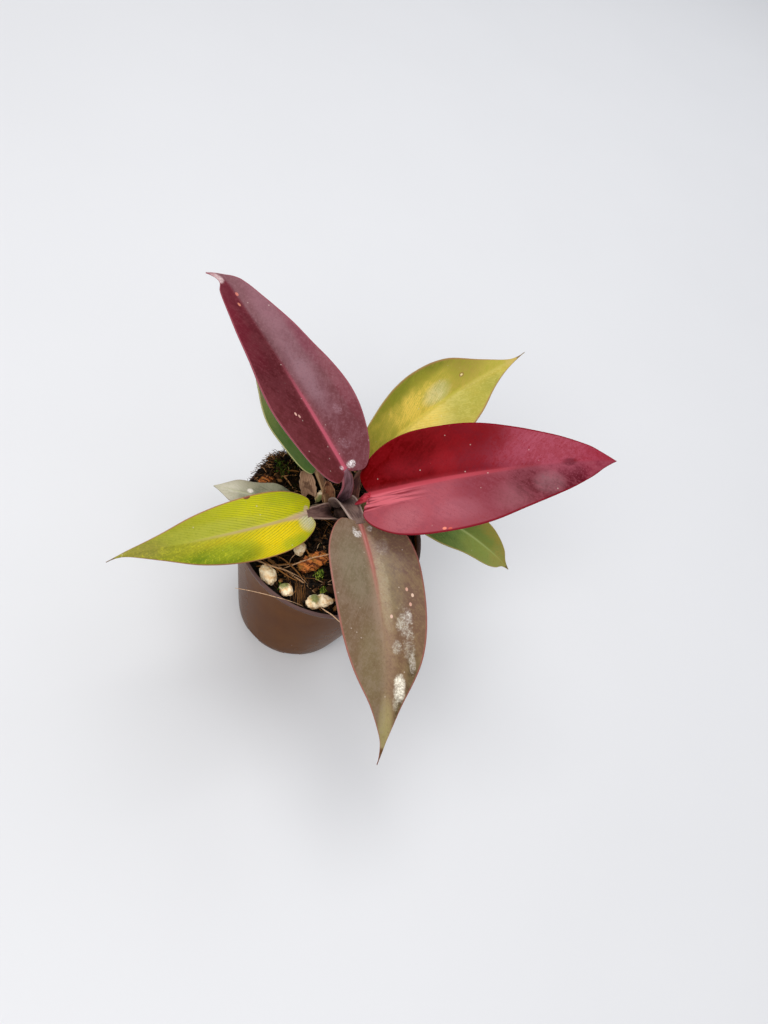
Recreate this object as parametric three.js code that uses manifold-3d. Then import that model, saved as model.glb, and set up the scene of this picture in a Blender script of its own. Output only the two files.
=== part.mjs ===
// A red sun philodendron with eight leaves, growing in its small nursery pot.
// All sizes are millimetres, +Z is up and -Y is the front. The origin lies on the underside
// of the pot, on the pot's axis.
import * as THREE from 'three';
import { mergeVertices } from 'three/addons/utils/BufferGeometryUtils.js';
import Module from 'manifold-3d';

const wasm = await Module();
wasm.setup();

// Driving sizes of the pot and its mix.
const potHeight = 94;
const rimRadius = 48;
const footRadius = 33;
const wallThickness = 1.3;
const lipWidth = 0.8;
const lipDepth = 2.5;
const floorThickness = 1.6;
const drainCutouts = 8;
const cutoutWidth = 11;
const cutoutHeight = 2.5;
const drainHoles = 4;
const holeWidth = 6;
const gap = 0.4;

// Driving sizes of the plant. Heights of the crown count from the rim of the pot.
const stemFoot = new THREE.Vector3(0, 4, -52);
const stemTip = new THREE.Vector3(0.5, 9.5, 3.2);
const stemRadius = 4.2;
const mainRoots = 5;
const bladeThickness = 0.9;
const keelDepth = 1.1;
const keelWidth = 1.6;
const hookStart = 0.88;
const scaleThickness = 0.7;

const radians = THREE.MathUtils.degToRad;
const degrees = THREE.MathUtils.radToDeg;
const lerp = THREE.MathUtils.lerp;
const clamp = THREE.MathUtils.clamp;
const upwards = new THREE.Vector3(0, 0, 1);

// Smooth noise between -1 and 1, made of crossed waves that never line up.
function ripple(x, y, z) {
  const first = Math.sin(x * 1.7 + 1.3 * Math.sin(y * 1.1 + z));
  const second = Math.sin(y * 2.3 + 1.7 * Math.sin(z * 1.3 + x) + 2);
  const third = Math.sin(z * 1.9 + 1.1 * Math.sin(x * 1.9 + y) + 4);
  return (first + second + third) / 3;
}

// A closed three.js geometry becomes a solid that can be joined and cut.
function toSolid(geometry) {
  const plain = geometry.clone();
  plain.deleteAttribute('uv');
  plain.deleteAttribute('normal');
  const merged = mergeVertices(plain, 1e-4);
  const vertProperties = new Float32Array(merged.attributes.position.array);
  const triVerts = new Uint32Array(merged.index.array);
  return new wasm.Manifold(new wasm.Mesh({ numProp: 3, vertProperties, triVerts }));
}

function toGeometry(solid) {
  const cut = solid.getMesh();
  const geometry = new THREE.BufferGeometry();
  geometry.setAttribute('position', new THREE.BufferAttribute(cut.vertProperties, 3));
  geometry.setIndex(new THREE.BufferAttribute(cut.triVerts, 1));
  geometry.computeVertexNormals();
  return geometry;
}

// The largest body of a solid, without the crumbs that a cut may leave.
function mainBody(solid) {
  const bodies = solid.decompose();
  bodies.sort((a, b) => b.volume() - a.volume());
  return bodies[0];
}

function cutClear(solid, neighbours) {
  let result = solid;
  for (const neighbour of neighbours) {
    result = result.subtract(neighbour);
  }
  return mainBody(result);
}

function moveVertices(geometry, place) {
  const position = geometry.attributes.position;
  for (let i = 0; i < position.count; i += 1) {
    const point = new THREE.Vector3().fromBufferAttribute(position, i);
    place(point);
    position.setXYZ(i, point.x, point.y, point.z);
  }
  return geometry;
}

const plant = new THREE.Group();

function addPiece(name, geometry, color, roughness) {
  const material = new THREE.MeshStandardMaterial({ color, roughness, metalness: 0 });
  const mesh = new THREE.Mesh(geometry, material);
  mesh.name = name;
  plant.add(mesh);
}

// Pot: a thin shell with a turned lip. The corner of its base has drainage cut-outs, which
// leave feet between them, and its floor has round drain holes.
function wallRadius(height) {
  return lerp(footRadius, rimRadius, height / potHeight);
}

function potSolid() {
  const lipBottom = potHeight - lipDepth;
  const outline = [
    [0, 0],
    [footRadius - 1.2, 0],
    [footRadius, 1.2],
    [wallRadius(lipBottom) - lipWidth, lipBottom - 1],
    [wallRadius(lipBottom), lipBottom],
    [rimRadius, potHeight - 0.5],
    [rimRadius - 0.5, potHeight],
    [rimRadius - wallThickness, potHeight],
    [rimRadius - wallThickness - lipWidth, lipBottom - 2],
    [footRadius - wallThickness, floorThickness + 2],
    [footRadius - wallThickness - 2, floorThickness],
    [0, floorThickness],
  ];
  const points = outline.map(([radius, height]) => new THREE.Vector2(radius, height));
  const shell = new THREE.LatheGeometry(points, 56);
  return toSolid(shell.rotateX(Math.PI / 2));
}

function drainCutter(width, height, distance, angle) {
  const cutter = new THREE.CylinderGeometry(width / 2, width / 2, height, 12);
  cutter.rotateX(Math.PI / 2);
  cutter.translate(distance, 0, 0);
  cutter.rotateZ(angle);
  return toSolid(cutter);
}

function pot() {
  let solid = potSolid();
  for (let i = 0; i < drainCutouts; i += 1) {
    const angle = (2 * Math.PI * (i + 0.5)) / drainCutouts;
    solid = solid.subtract(drainCutter(cutoutWidth, 2 * cutoutHeight, footRadius + 2.6, angle));
  }
  for (let i = 0; i < drainHoles; i += 1) {
    const angle = (2 * Math.PI * i) / drainHoles;
    solid = solid.subtract(drainCutter(holeWidth, 6 * floorThickness, footRadius * 0.5, angle));
  }
  return toGeometry(solid);
}

// Stem: short, ringed where old leaves stood, with its main roots grown out of its foot.
// Each solid from here on can be asked for a little grown, to cut the clearance around it.
function stemAxis(height) {
  const along = (height - stemFoot.z) / (stemTip.z - stemFoot.z);
  return new THREE.Vector3().lerpVectors(stemFoot, stemTip, along).setZ(height);
}

function stemProfile(grow) {
  const points = [new THREE.Vector2(0, stemFoot.z - grow)];
  const rings = 10;
  for (let i = 0; i <= rings; i += 1) {
    const height = lerp(stemFoot.z + 30, stemTip.z - 2, i / rings);
    const swell = i % 2 === 0 ? 0.35 : 0;
    const taper = lerp(0.85, 0.8, i / rings) + 0.15 * Math.sin((Math.PI * i) / rings);
    points.push(new THREE.Vector2(stemRadius * taper + swell + grow, height));
  }
  points.splice(1, 0, new THREE.Vector2(1.6 + grow, stemFoot.z - grow));
  points.push(new THREE.Vector2(stemRadius * 0.6 + grow, stemTip.z - 0.3 + grow));
  points.push(new THREE.Vector2(0, stemTip.z + grow));
  return points;
}

function roundSection(radius, sides) {
  const shape = new THREE.Shape();
  for (let i = 0; i < sides; i += 1) {
    const angle = (2 * Math.PI * i) / sides;
    const x = radius * Math.cos(angle);
    const y = radius * Math.sin(angle);
    if (i === 0) {
      shape.moveTo(x, y);
    } else {
      shape.lineTo(x, y);
    }
  }
  shape.closePath();
  return shape;
}

function strand(path, radius, sides, steps) {
  const settings = { steps, extrudePath: path, bevelEnabled: false };
  return new THREE.ExtrudeGeometry(roundSection(radius, sides), settings);
}

function rootSolid(index, grow) {
  const angle = (2 * Math.PI * index) / mainRoots + 0.4;
  const reach = 15 + 3 * (index % 3);
  const drop = 42 + 5 * (index % 2) + grow;
  const start = stemAxis(-14 - 3 * index);
  const bend = new THREE.Vector3(reach * Math.cos(angle), reach * Math.sin(angle), -6);
  const end = bend.clone().multiplyScalar(1.25).setZ(-drop);
  const path = new THREE.QuadraticBezierCurve3(start, start.clone().add(bend), start.clone().add(end));
  return toSolid(strand(path, 1.2 + grow, 5, 5));
}

function stemSolid(grow) {
  const stalk = new THREE.LatheGeometry(stemProfile(grow), 14);
  stalk.rotateX(Math.PI / 2);
  moveVertices(stalk, (point) => {
    const axis = stemAxis(point.z);
    point.x += axis.x;
    point.y += axis.y;
  });
  let solid = toSolid(stalk);
  for (let i = 0; i < mainRoots; i += 1) {
    solid = solid.add(rootSolid(i, grow));
  }
  return solid;
}

// Leaves. Each one is described by where its blade meets the petiole, counted from the pot's
// axis and rim, how the midrib runs from there (heading, rise at the joint and at the tip,
// sideways sweep, roll and twist, in degrees) and how long and wide the blade is. Near, drip
// and thread say how much of that width is left on the way to the tip, and the last bit of
// the tip turns aside by the hook. The petiole stands beside the stem's axis at an angle,
// height and spread. Its sheath and its stalk are so wide to each side, and where it faces a
// way of its own, that is the way of its back.
const leaves = [
  {
    name: 'crimson', joint: [9.6, 8.9, 29.1], heading: 23.6, sweep: 9.2, rise: 40, tipRise: 4.6,
    roll: 7.6, twist: 4.5, fold: 9, curl: -1.3, length: 120, width: 54.5, near: 0.52, drip: 0.3,
    thread: 0.15, hook: -10, foot: [50, 3, 6.5], sheath: 2.7, stalk: 2.6,
    petioleColor: 0xa52434, color: 0x8e1220, roughness: 0.4,
  },
  {
    name: 'wine', joint: [-7.3, 12.4, 33.1], heading: 153.4, sweep: -2.3, rise: 20.9, tipRise: 7,
    roll: 4.8, twist: -3.1, fold: 18, curl: -0.2, length: 116.5, width: 47.7, near: 0.51,
    drip: 0.32, thread: 0.11, hook: 64, foot: [100, 2.4, 6], facing: 112, sheath: 3.8,
    stalk: 3.5, petioleColor: 0x6d4450, color: 0x6b3440, roughness: 0.38,
  },
  {
    name: 'bronze', joint: [11.5, -3.9, 21.1], heading: -51.2, sweep: -12.9, rise: 3.1,
    tipRise: -38.8, roll: -0.2, twist: -5.2, fold: 12.7, curl: -0.8, length: 113.5, width: 46.4,
    near: 0.34, drip: 0.1, thread: 0.03, hook: -18, foot: [135, 3, 3.6], leave: [0.1, 0.42],
    sheath: 7, stalk: 4.4, petioleColor: 0x5f4c46, color: 0x66584a, roughness: 0.36,
  },
  {
    name: 'gold', joint: [0.7, 30.3, 17], heading: 73.9, sweep: -21.7, rise: 12.8, tipRise: 14.1,
    roll: 38, twist: -40, fold: 22, curl: 5.5, length: 118.5, width: 49.3, near: 0.38, drip: 0.12,
    thread: 0.03, hook: 14, foot: [80, 1, 5.8], sheath: 4.5, stalk: 1.9,
    petioleColor: 0x4b2b2a, color: 0xa3a73a, roughness: 0.4,
  },
  {
    name: 'lime', joint: [-13.8, -8.9, 15.9], heading: 237.6, sweep: -20, rise: 18.2, tipRise: -6.1,
    roll: -26.8, twist: -0.7, fold: 6.3, curl: -0.5, length: 96.5, width: 29.7, near: 0.39,
    drip: 0.14, thread: 0.04, hook: 24, foot: [225, 1, 5], sheath: 5.5, stalk: 3.1,
    petioleColor: 0x6e4e49, color: 0xa2b31c, roughness: 0.38,
  },
  {
    name: 'green', joint: [16.4, 27.7, 11], heading: -0.2, sweep: 1.4, rise: 12.8, tipRise: -30,
    roll: 1.3, twist: 9.7, fold: 12.9, curl: 1.4, length: 79.5, width: 34.8, near: 0.64, drip: 0.42,
    thread: 0.16, hook: -8, foot: [42, -1, 7.6], sheath: 4, stalk: 1.7,
    petioleColor: 0x7f8a4c, color: 0x5f8a3c, roughness: 0.4,
  },
  {
    name: 'moss', joint: [-21.1, 20.9, 12], heading: 148.2, sweep: -22.1, rise: 11.3, tipRise: -7.5,
    roll: 18.9, twist: -5.1, fold: 11.6, curl: 0.4, length: 79.6, width: 36.7, near: 0.48,
    drip: 0.22, thread: 0.08, hook: 0, foot: [162, 0, 7], sheath: 3.8, stalk: 1.9,
    petioleColor: 0x8f6a45, color: 0x567f38, roughness: 0.4,
  },
  {
    name: 'silver', joint: [-20.5, -3.3, 6.9], heading: 194.4, sweep: -3.3, rise: 6.5, tipRise: -9.4,
    roll: 2.7, twist: -1.3, fold: 5.4, curl: -1.2, length: 40.8, width: 20.8, near: 0.6, drip: 0.3,
    thread: 0.14, hook: 0, foot: [192, -1, 8], sheath: 3, stalk: 1.3,
    petioleColor: 0x7c7a5a, color: 0x8f9f80, roughness: 0.32,
  },
];

// The midrib as a row of frames, each with its place, its run, its left side and its upper side.
// From hookStart on, the tip bends aside more and more.
function midribFrames(leaf) {
  const steps = 48;
  const frames = [];
  const place = new THREE.Vector3(...leaf.joint);
  place.z += potHeight;
  for (let i = 0; i <= steps; i += 1) {
    const run = i / steps;
    const tipShare = Math.max(run - hookStart, 0) / (1 - hookStart);
    const heading = radians(leaf.heading + leaf.sweep * run + leaf.hook * tipShare);
    const rise = radians(lerp(leaf.rise, leaf.tipRise, run));
    const roll = radians(leaf.roll + leaf.twist * run);
    const flat = new THREE.Vector3(Math.cos(heading), Math.sin(heading), 0);
    const along = flat.multiplyScalar(Math.cos(rise)).setZ(Math.sin(rise));
    const level = new THREE.Vector3(-Math.sin(heading), Math.cos(heading), 0);
    const side = level.clone().applyAxisAngle(along, roll);
    const up = along.clone().cross(side);
    if (i > 0) {
      const middle = frames[i - 1].along.clone().add(along).normalize();
      place.addScaledVector(middle, leaf.length / steps);
    }
    frames.push({ place: place.clone(), along, side, up });
  }
  return frames;
}

function frameAt(leaf, distance) {
  const last = leaf.frames.length - 1;
  const position = clamp(distance / leaf.length, 0, 1) * last;
  const index = Math.min(Math.floor(position), last - 1);
  const part = position - index;
  const before = leaf.frames[index];
  const after = leaf.frames[index + 1];
  const frame = {};
  for (const key of ['place', 'along', 'side', 'up']) {
    frame[key] = before[key].clone().lerp(after[key], part);
  }
  return frame;
}

// A point of the blade's middle surface, from its distance along the midrib and across it.
// The halves fold up beside a rounded groove, and their margins curl and wave.
function bladePoint(leaf, distance, across) {
  const frame = frameAt(leaf, distance);
  const half = leaf.width / 2;
  const fold = radians(leaf.fold);
  const rounded = Math.sqrt(across * across + 2.25) - 1.5;
  const share = across / half;
  const phase = (7 * distance) / leaf.length + (across > 0 ? 0 : 2);
  const wave = 0.9 * share * share * Math.sin(2 * phase);
  const lift = rounded * Math.sin(fold) + leaf.curl * share * share + wave;
  return frame.place
    .addScaledVector(frame.along, Math.min(distance, 0))
    .addScaledVector(frame.side, across * Math.cos(fold))
    .addScaledVector(frame.up, lift);
}

function bladeNormal(leaf, distance, across) {
  const step = 0.5;
  const ahead = bladePoint(leaf, distance + step, across);
  const behind = bladePoint(leaf, distance - step, across);
  const left = bladePoint(leaf, distance, across + step);
  const right = bladePoint(leaf, distance, across - step);
  return ahead.sub(behind).cross(left.sub(right)).normalize();
}

// Half of the blade's outline: a round lobe beside the joint, the belly, then the drip tip.
function bladeOutline(leaf) {
  const points = [
    [0, 0], [-0.025, 0.16], [-0.035, 0.42], [0.015, 0.68], [0.11, 0.9], [0.25, 1],
    [0.42, 0.95], [0.6, 0.74], [0.76, leaf.near], [0.88, leaf.drip],
    [0.94, leaf.thread], [1, 0],
  ];
  return new THREE.SplineCurve(
    points.map(([run, out]) => new THREE.Vector2(run * leaf.length, (out * leaf.width) / 2)),
  );
}

// Columns of the blade's sheet, from its left margin over the midrib to its right margin.
const bladeColumns = [1, 0.8, 0.5, 0.2, 0, -0.2, -0.5, -0.8, -1];

// A sheet with the same triangles on both faces and a wall around its edge. The function
// place gives the upper and lower point for a row and column of the sheet.
function thickSheet(columns, rows, place) {
  const plane = new THREE.PlaneGeometry(1, 1, columns, rows);
  const count = plane.attributes.position.count;
  const positions = new Float32Array(count * 6);
  for (let i = 0; i < count; i += 1) {
    const column = i % (columns + 1);
    const row = rows - Math.floor(i / (columns + 1));
    const [upper, lower] = place(column, row);
    upper.toArray(positions, i * 3);
    lower.toArray(positions, (count + i) * 3);
  }
  const faces = Array.from(plane.index.array);
  const index = [...faces];
  for (let i = 0; i < faces.length; i += 3) {
    index.push(faces[i] + count, faces[i + 2] + count, faces[i + 1] + count);
  }
  const edge = [];
  for (let column = 0; column < columns; column += 1) {
    edge.push(rows * (columns + 1) + column);
  }
  for (let row = rows; row > 0; row -= 1) {
    edge.push(row * (columns + 1) + columns);
  }
  for (let column = columns; column > 0; column -= 1) {
    edge.push(column);
  }
  for (let row = 0; row < rows; row += 1) {
    edge.push(row * (columns + 1));
  }
  edge.forEach((from, i) => {
    const to = edge[(i + 1) % edge.length];
    index.push(from + count, to + count, to, from + count, to, from);
  });
  const geometry = new THREE.BufferGeometry();
  geometry.setAttribute('position', new THREE.BufferAttribute(positions, 3));
  geometry.setIndex(index);
  return geometry;
}

function bladeSheet(leaf) {
  const rows = Math.round(8 + leaf.length / 12);
  const outline = bladeOutline(leaf);
  return thickSheet(bladeColumns.length - 1, rows, (column, row) => {
    const run = row / rows;
    const margin = outline.getPointAt(lerp(0.012, 0.995, 1 - (1 - run ** 1.3) ** 1.25));
    const half = Math.max(margin.y, lerp(0.9, 0.4, run));
    const rib = leaf.length * run ** 1.75;
    const share = Math.abs(bladeColumns[column]);
    const distance = lerp(rib, margin.x, share);
    const across = Math.sign(bladeColumns[column]) * share * half;
    const point = bladePoint(leaf, distance, across);
    const normal = bladeNormal(leaf, distance, across);
    const keel = keelDepth * (1 - 0.8 * run) * Math.exp(-((across / keelWidth) ** 2));
    const upper = point.clone().addScaledVector(normal, bladeThickness / 2);
    const lower = point.clone().addScaledVector(normal, -bladeThickness / 2 - keel);
    return [upper, lower];
  });
}

// Petiole: stands on the stem's tip or clasps its side with a sheath, which is wide and
// rolled round the stem at its foot, and narrows to a hollowed stalk where it meets the blade.
function petiolePath(leaf) {
  const joint = leaf.frames[0].place.clone();
  const [angle, height, spread] = leaf.foot;
  const away = new THREE.Vector3(Math.cos(radians(angle)), Math.sin(radians(angle)), 0);
  const start = stemAxis(height).addScaledVector(away, spread);
  start.z += potHeight;
  const out = joint.clone().sub(start).setZ(0).normalize();
  const facing = radians(leaf.facing ?? degrees(Math.atan2(out.y, out.x)));
  const back = new THREE.Vector3(Math.cos(facing), Math.sin(facing), 0);
  const [leaveOut, leaveUp] = leaf.leave ?? [0.12, 0.33];
  const reach = joint.distanceTo(start);
  const arrive = joint.clone().sub(start).normalize().add(leaf.frames[0].along).normalize();
  const end = joint.clone().addScaledVector(leaf.frames[0].up, -0.4);
  const first = start.clone().addScaledVector(out, reach * leaveOut);
  first.z += reach * leaveUp;
  const second = end.clone().addScaledVector(arrive, -reach * 0.4);
  return { path: new THREE.CubicBezierCurve3(start, first, second, end), back };
}

function petioleSolid(leaf, grow) {
  const { path, back } = petiolePath(leaf);
  const sides = leaf.sheath > 6 ? 16 : 10;
  const tube = new THREE.CylinderGeometry(1, 1, 1, sides, 8);
  const footRoll = 1 / Math.max(leaf.foot[2], 5);
  moveVertices(tube, (point) => {
    const run = clamp(point.y + 0.5, 0, 1);
    const change = THREE.MathUtils.smoothstep(run, 0.25, 0.9);
    const along = path.getTangent(run);
    const outward = back.clone().lerp(leaf.frames[0].up.clone().negate(), run);
    outward.addScaledVector(along, -outward.dot(along)).normalize();
    const side = along.clone().cross(outward);
    const taper = run > 0.9 ? 0.8 : 1;
    const half = lerp(leaf.sheath, leaf.stalk, change) * taper + grow;
    const depth = lerp(0.9, 1.4, change) + grow;
    const roll = lerp(footRoll, 0.16, change);
    const turn = point.x * half * roll;
    const stretch = run === 0 ? -grow : 0;
    const place = path.getPoint(run);
    place.addScaledVector(along, run === 1 ? grow : stretch);
    place.addScaledVector(side, Math.sin(turn) * (1 / roll + point.z * depth));
    place.addScaledVector(outward, Math.cos(turn) * (1 / roll + point.z * depth) - 1 / roll);
    point.copy(place);
  });
  return toSolid(tube);
}

// Soil: a mix heaped around the stem, higher at the back on the left, with coarse fibres.
function soilHeight(x, y) {
  const heap = 4.2 * Math.exp(-((x + 1) ** 2 + (y - 7) ** 2) / 500);
  const bank = 7 * Math.exp(-((x + 38) ** 2 + (y - 16) ** 2) / 300);
  const rough = 1.1 * ripple(x * 0.35, y * 0.35, 1) + 0.6 * ripple(x * 0.9, y * 0.9, 5);
  return potHeight - 3.4 + heap + bank + rough;
}

function soilBody() {
  const top = rimRadius - wallThickness - lipWidth - gap;
  const foot = footRadius - wallThickness - 2 - gap;
  const bottom = floorThickness + gap;
  const points = [new THREE.Vector2(0, bottom), new THREE.Vector2(foot, bottom)];
  points.push(new THREE.Vector2(foot + 2, bottom + 2));
  const rings = 9;
  for (let i = 0; i < rings; i += 1) {
    const radius = (top * (rings - i)) / rings;
    points.push(new THREE.Vector2(radius, potHeight));
  }
  points.push(new THREE.Vector2(0, potHeight));
  const body = new THREE.LatheGeometry(points, 44);
  body.rotateX(Math.PI / 2);
  return toSolid(moveVertices(body, (point) => {
    if (point.z > potHeight - 1) {
      point.z = soilHeight(point.x, point.y);
    }
  }));
}

// Coconut fibres lie over the mix with both ends sunk in it. Start, end and arch in mm.
const fibres = [
  [-24, -36, -4, -24, 2.2], [-20, -30, 8, -34, 1.8], [-13, -28, -2, -41, 1.6],
  [2, -30, -4, -43, 1.4], [-31, -24, -12, -34, 2], [22, -30, 4, -42, 1.6],
  [-42, 8, -30, 24, 1.6], [-43, 16, -26, 10, 2], [-38, 24, -22, 33, 1.8],
  [-34, 2, -42, -10, 1.4], [20, -12, 34, -20, 1.6], [28, 14, 40, 4, 1.5],
  [6, 36, 24, 34, 1.7], [-14, 36, 2, 42, 1.6], [-10, -14, 2, -22, 1.8],
  [-30, -8, -36, -20, 1.6],
];

function fibreSolid([startX, startY, endX, endY, arch]) {
  const start = new THREE.Vector3(startX, startY, soilHeight(startX, startY) - 1.2);
  const end = new THREE.Vector3(endX, endY, soilHeight(endX, endY) - 1.2);
  const middle = start.clone().lerp(end, 0.5);
  middle.z = Math.max(middle.z, soilHeight(middle.x, middle.y)) + arch * 1.4;
  const path = new THREE.QuadraticBezierCurve3(start, middle, end);
  return toSolid(strand(path, 0.42, 5, 5));
}

// Perlite and bark: loose pieces bedded in the surface of the mix. Place, size, squash and
// turn. A waist parts a lump into two.
const perlites = [
  { name: 'perlite_1', place: [-17, -37.6], size: 4.7, squash: [1.2, 0.8, 0.8], turn: -35 },
  { name: 'perlite_2', place: [-6, -40.8], size: 3.6, squash: [1.1, 0.85, 0.85], turn: -20 },
  { name: 'perlite_3', place: [10.4, -38.2], size: 4.7, squash: [1.35, 0.9, 0.85], turn: 36, waist: 0.3 },
  { name: 'perlite_4', place: [-9.4, -17.6], size: 3.4, squash: [0.9, 1.15, 0.9] },
  { name: 'perlite_5', place: [-13, 13.4], size: 2.9, squash: [0.75, 1.35, 0.9] },
  { name: 'perlite_6', place: [38.5, 12], size: 3.6, squash: [0.95, 1.1, 0.9] },
  { name: 'perlite_7', place: [31, -24], size: 3.4, squash: [1, 0.9, 0.85] },
  { name: 'perlite_8', place: [12, 39], size: 3.2, squash: [1.1, 0.9, 0.85] },
  { name: 'perlite_9', place: [-28, 30], size: 2.8, squash: [1, 0.95, 0.9] },
];

function perliteSolid(spec, index, grow) {
  const ball = new THREE.IcosahedronGeometry(1, 1);
  const [x, y] = spec.place;
  const centre = new THREE.Vector3(x, y, soilHeight(x, y) + spec.size * 0.2);
  const stretch = new THREE.Vector3(...spec.squash).multiplyScalar(spec.size);
  moveVertices(ball, (point) => {
    const lump = 1 + 0.14 * ripple(point.x * 2 + index, point.y * 2, point.z * 2 + index);
    const outward = point.clone().multiplyScalar(grow * 1.35);
    const waist = 1 - (spec.waist ?? 0) * Math.exp(-((3 * point.x) ** 2));
    point.multiply(stretch).multiplyScalar(lump * waist).add(outward);
    point.applyAxisAngle(upwards, radians(spec.turn ?? 0)).add(centre);
  });
  return toSolid(ball);
}

const barks = [
  { name: 'bark_chip_1', place: [-0.4, -20.6], size: [17, 7.5, 5], turn: 58 },
  { name: 'bark_chip_2', place: [-40, 6.5], size: [9.5, 4.6, 3.4], turn: 62 },
  { name: 'bark_chip_3', place: [26, 27], size: [9, 5.4, 3.6], turn: -35 },
];

function barkSolid(spec, index, grow) {
  const [length, width, height] = spec.size;
  const chip = new THREE.BoxGeometry(length, width, height, 6, 3, 2);
  const [x, y] = spec.place;
  moveVertices(chip, (point) => {
    const rough = 1 + 0.12 * ripple(point.x + index * 3, point.y * 1.4, point.z * 1.4);
    const taper = 1 - 0.35 * (point.x / (length / 2)) ** 2;
    point.y *= rough * taper * (1 + (2.4 * grow) / width);
    point.z *= rough * taper * (1 + (2.4 * grow) / height);
    point.x *= 1 + (2.4 * grow) / length;
  });
  chip.rotateY(radians(4));
  chip.rotateZ(radians(spec.turn));
  chip.translate(x, y, soilHeight(x, y) + height * 0.22);
  return toSolid(chip);
}

// Dry sheaths: thin papery scales that once wrapped a young leaf. Each stands in the mix
// beside the stem, curls around its own length and leans outwards.
const dryScales = [
  {
    name: 'dry_sheath_tan', foot: [-17, 9.2, 1.5], top: [-25.6, 19, 7.4], width: 9.5, bow: 2.2,
    face: [0.25, -0.5, 0.83], forked: 1, color: 0xb08a68,
  },
  {
    name: 'dry_sheath_maroon', foot: [-8.1, 12.9, 2.2], top: [-12.4, 15.8, 13.2], width: 7.8,
    bow: 3, face: [0.35, -0.8, 0.5], forked: 0, color: 0x6f3b2c,
  },
];

function dryScaleSheet(spec, grow) {
  const rows = 10;
  const columns = 8;
  const foot = new THREE.Vector3(...spec.foot);
  const top = new THREE.Vector3(...spec.top);
  foot.z += potHeight;
  top.z += potHeight;
  const along = top.clone().sub(foot).normalize();
  const face = new THREE.Vector3(...spec.face);
  face.addScaledVector(along, -face.dot(along)).normalize();
  const side = along.clone().cross(face);
  return thickSheet(columns, rows, (column, row) => {
    const run = row / rows;
    const share = 1 - (2 * column) / columns;
    const belly = Math.sqrt(Math.sin(Math.PI * lerp(0.2, 0.97, run)));
    const half = (spec.width / 2) * belly + grow;
    const notch = spec.forked * 2.6 * (1 - Math.abs(share)) * (1 - run) ** 3;
    const curl = 1.2 * Math.sin(3.2 * run + 1.5 * share);
    const stretch = grow * (2 * run - 1);
    const point = foot.clone().lerp(top, run).addScaledVector(along, notch + stretch);
    point.addScaledVector(side, -share * half * 0.86);
    point.addScaledVector(face, spec.bow * share * share * belly + 0.3 * curl);
    const slope = (2 * spec.bow * share * belly) / (half * 0.86);
    const normal = face.clone().addScaledVector(side, slope).normalize();
    const upper = point.clone().addScaledVector(normal, scaleThickness / 2 + grow);
    const lower = point.clone().addScaledVector(normal, -scaleThickness / 2 - grow);
    return [upper, lower];
  });
}

// Put together, the youngest petiole first, each piece clear of those already placed.
for (const leaf of leaves) {
  leaf.frames = midribFrames(leaf);
}

const stem = stemSolid(0).translate([0, 0, potHeight]);
const clearStem = stemSolid(gap).translate([0, 0, potHeight]);
addPiece('stem', toGeometry(stem), 0x5a4238, 0.6);

const placed = [clearStem];
for (const leaf of leaves) {
  leaf.petiole = cutClear(petioleSolid(leaf, 0), placed);
  leaf.clearPetiole = petioleSolid(leaf, gap);
  placed.push(leaf.clearPetiole);
  addPiece(`petiole_${leaf.name}`, toGeometry(leaf.petiole), leaf.petioleColor, 0.45);
}

for (const leaf of leaves) {
  const blade = cutClear(toSolid(bladeSheet(leaf)), [leaf.clearPetiole]);
  addPiece(`blade_${leaf.name}`, toGeometry(blade), leaf.color, leaf.roughness);
}

dryScales.forEach((spec) => {
  const scale = cutClear(toSolid(dryScaleSheet(spec, 0)), placed);
  addPiece(spec.name, toGeometry(scale), spec.color, 0.85);
  placed.push(toSolid(dryScaleSheet(spec, gap)));
});

let soil = soilBody();
for (const fibre of fibres) {
  soil = soil.add(fibreSolid(fibre));
}
perlites.forEach((spec, index) => {
  addPiece(spec.name, toGeometry(perliteSolid(spec, index, 0)), 0xe3dcc6, 0.95);
  placed.push(perliteSolid(spec, index, gap));
});
barks.forEach((spec, index) => {
  addPiece(spec.name, toGeometry(barkSolid(spec, index, 0)), 0x9c5a30, 0.9);
  placed.push(barkSolid(spec, index, gap));
});
addPiece('soil', toGeometry(cutClear(soil, placed)), 0x1d1712, 1);
addPiece('pot', pot(), 0x2a1a12, 0.22);

export default plant;
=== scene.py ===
# A young red sun philodendron in its nursery pot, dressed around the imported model.
# Metres, +Z up, the origin under the middle of the pot. Shapes are worked out in millimetres.
import math
import random

import bmesh
import bpy
from mathutils import Matrix, Vector, noise


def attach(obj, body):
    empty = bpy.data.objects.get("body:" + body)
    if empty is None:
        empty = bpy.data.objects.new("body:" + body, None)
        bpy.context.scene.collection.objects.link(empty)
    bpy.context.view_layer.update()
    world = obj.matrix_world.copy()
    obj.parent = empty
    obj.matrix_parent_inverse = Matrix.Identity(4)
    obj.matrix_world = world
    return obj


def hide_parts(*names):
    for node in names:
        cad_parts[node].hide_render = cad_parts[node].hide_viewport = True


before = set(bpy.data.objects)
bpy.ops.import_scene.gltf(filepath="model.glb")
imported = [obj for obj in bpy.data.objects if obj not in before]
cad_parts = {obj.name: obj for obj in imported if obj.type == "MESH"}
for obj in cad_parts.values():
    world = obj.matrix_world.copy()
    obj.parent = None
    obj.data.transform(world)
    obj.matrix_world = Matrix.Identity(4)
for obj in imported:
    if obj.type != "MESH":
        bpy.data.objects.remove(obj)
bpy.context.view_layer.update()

# The studio: a plain pale floor, an even pale sky, a broad soft light from the front, a wide
# one behind, and a smaller one overhead that alone shines back from glossy skins. The
# camera looks steeply down on the plant and is rolled by about 30 degrees.
scene = bpy.context.scene
scene.view_settings.view_transform = "Standard"

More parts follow.
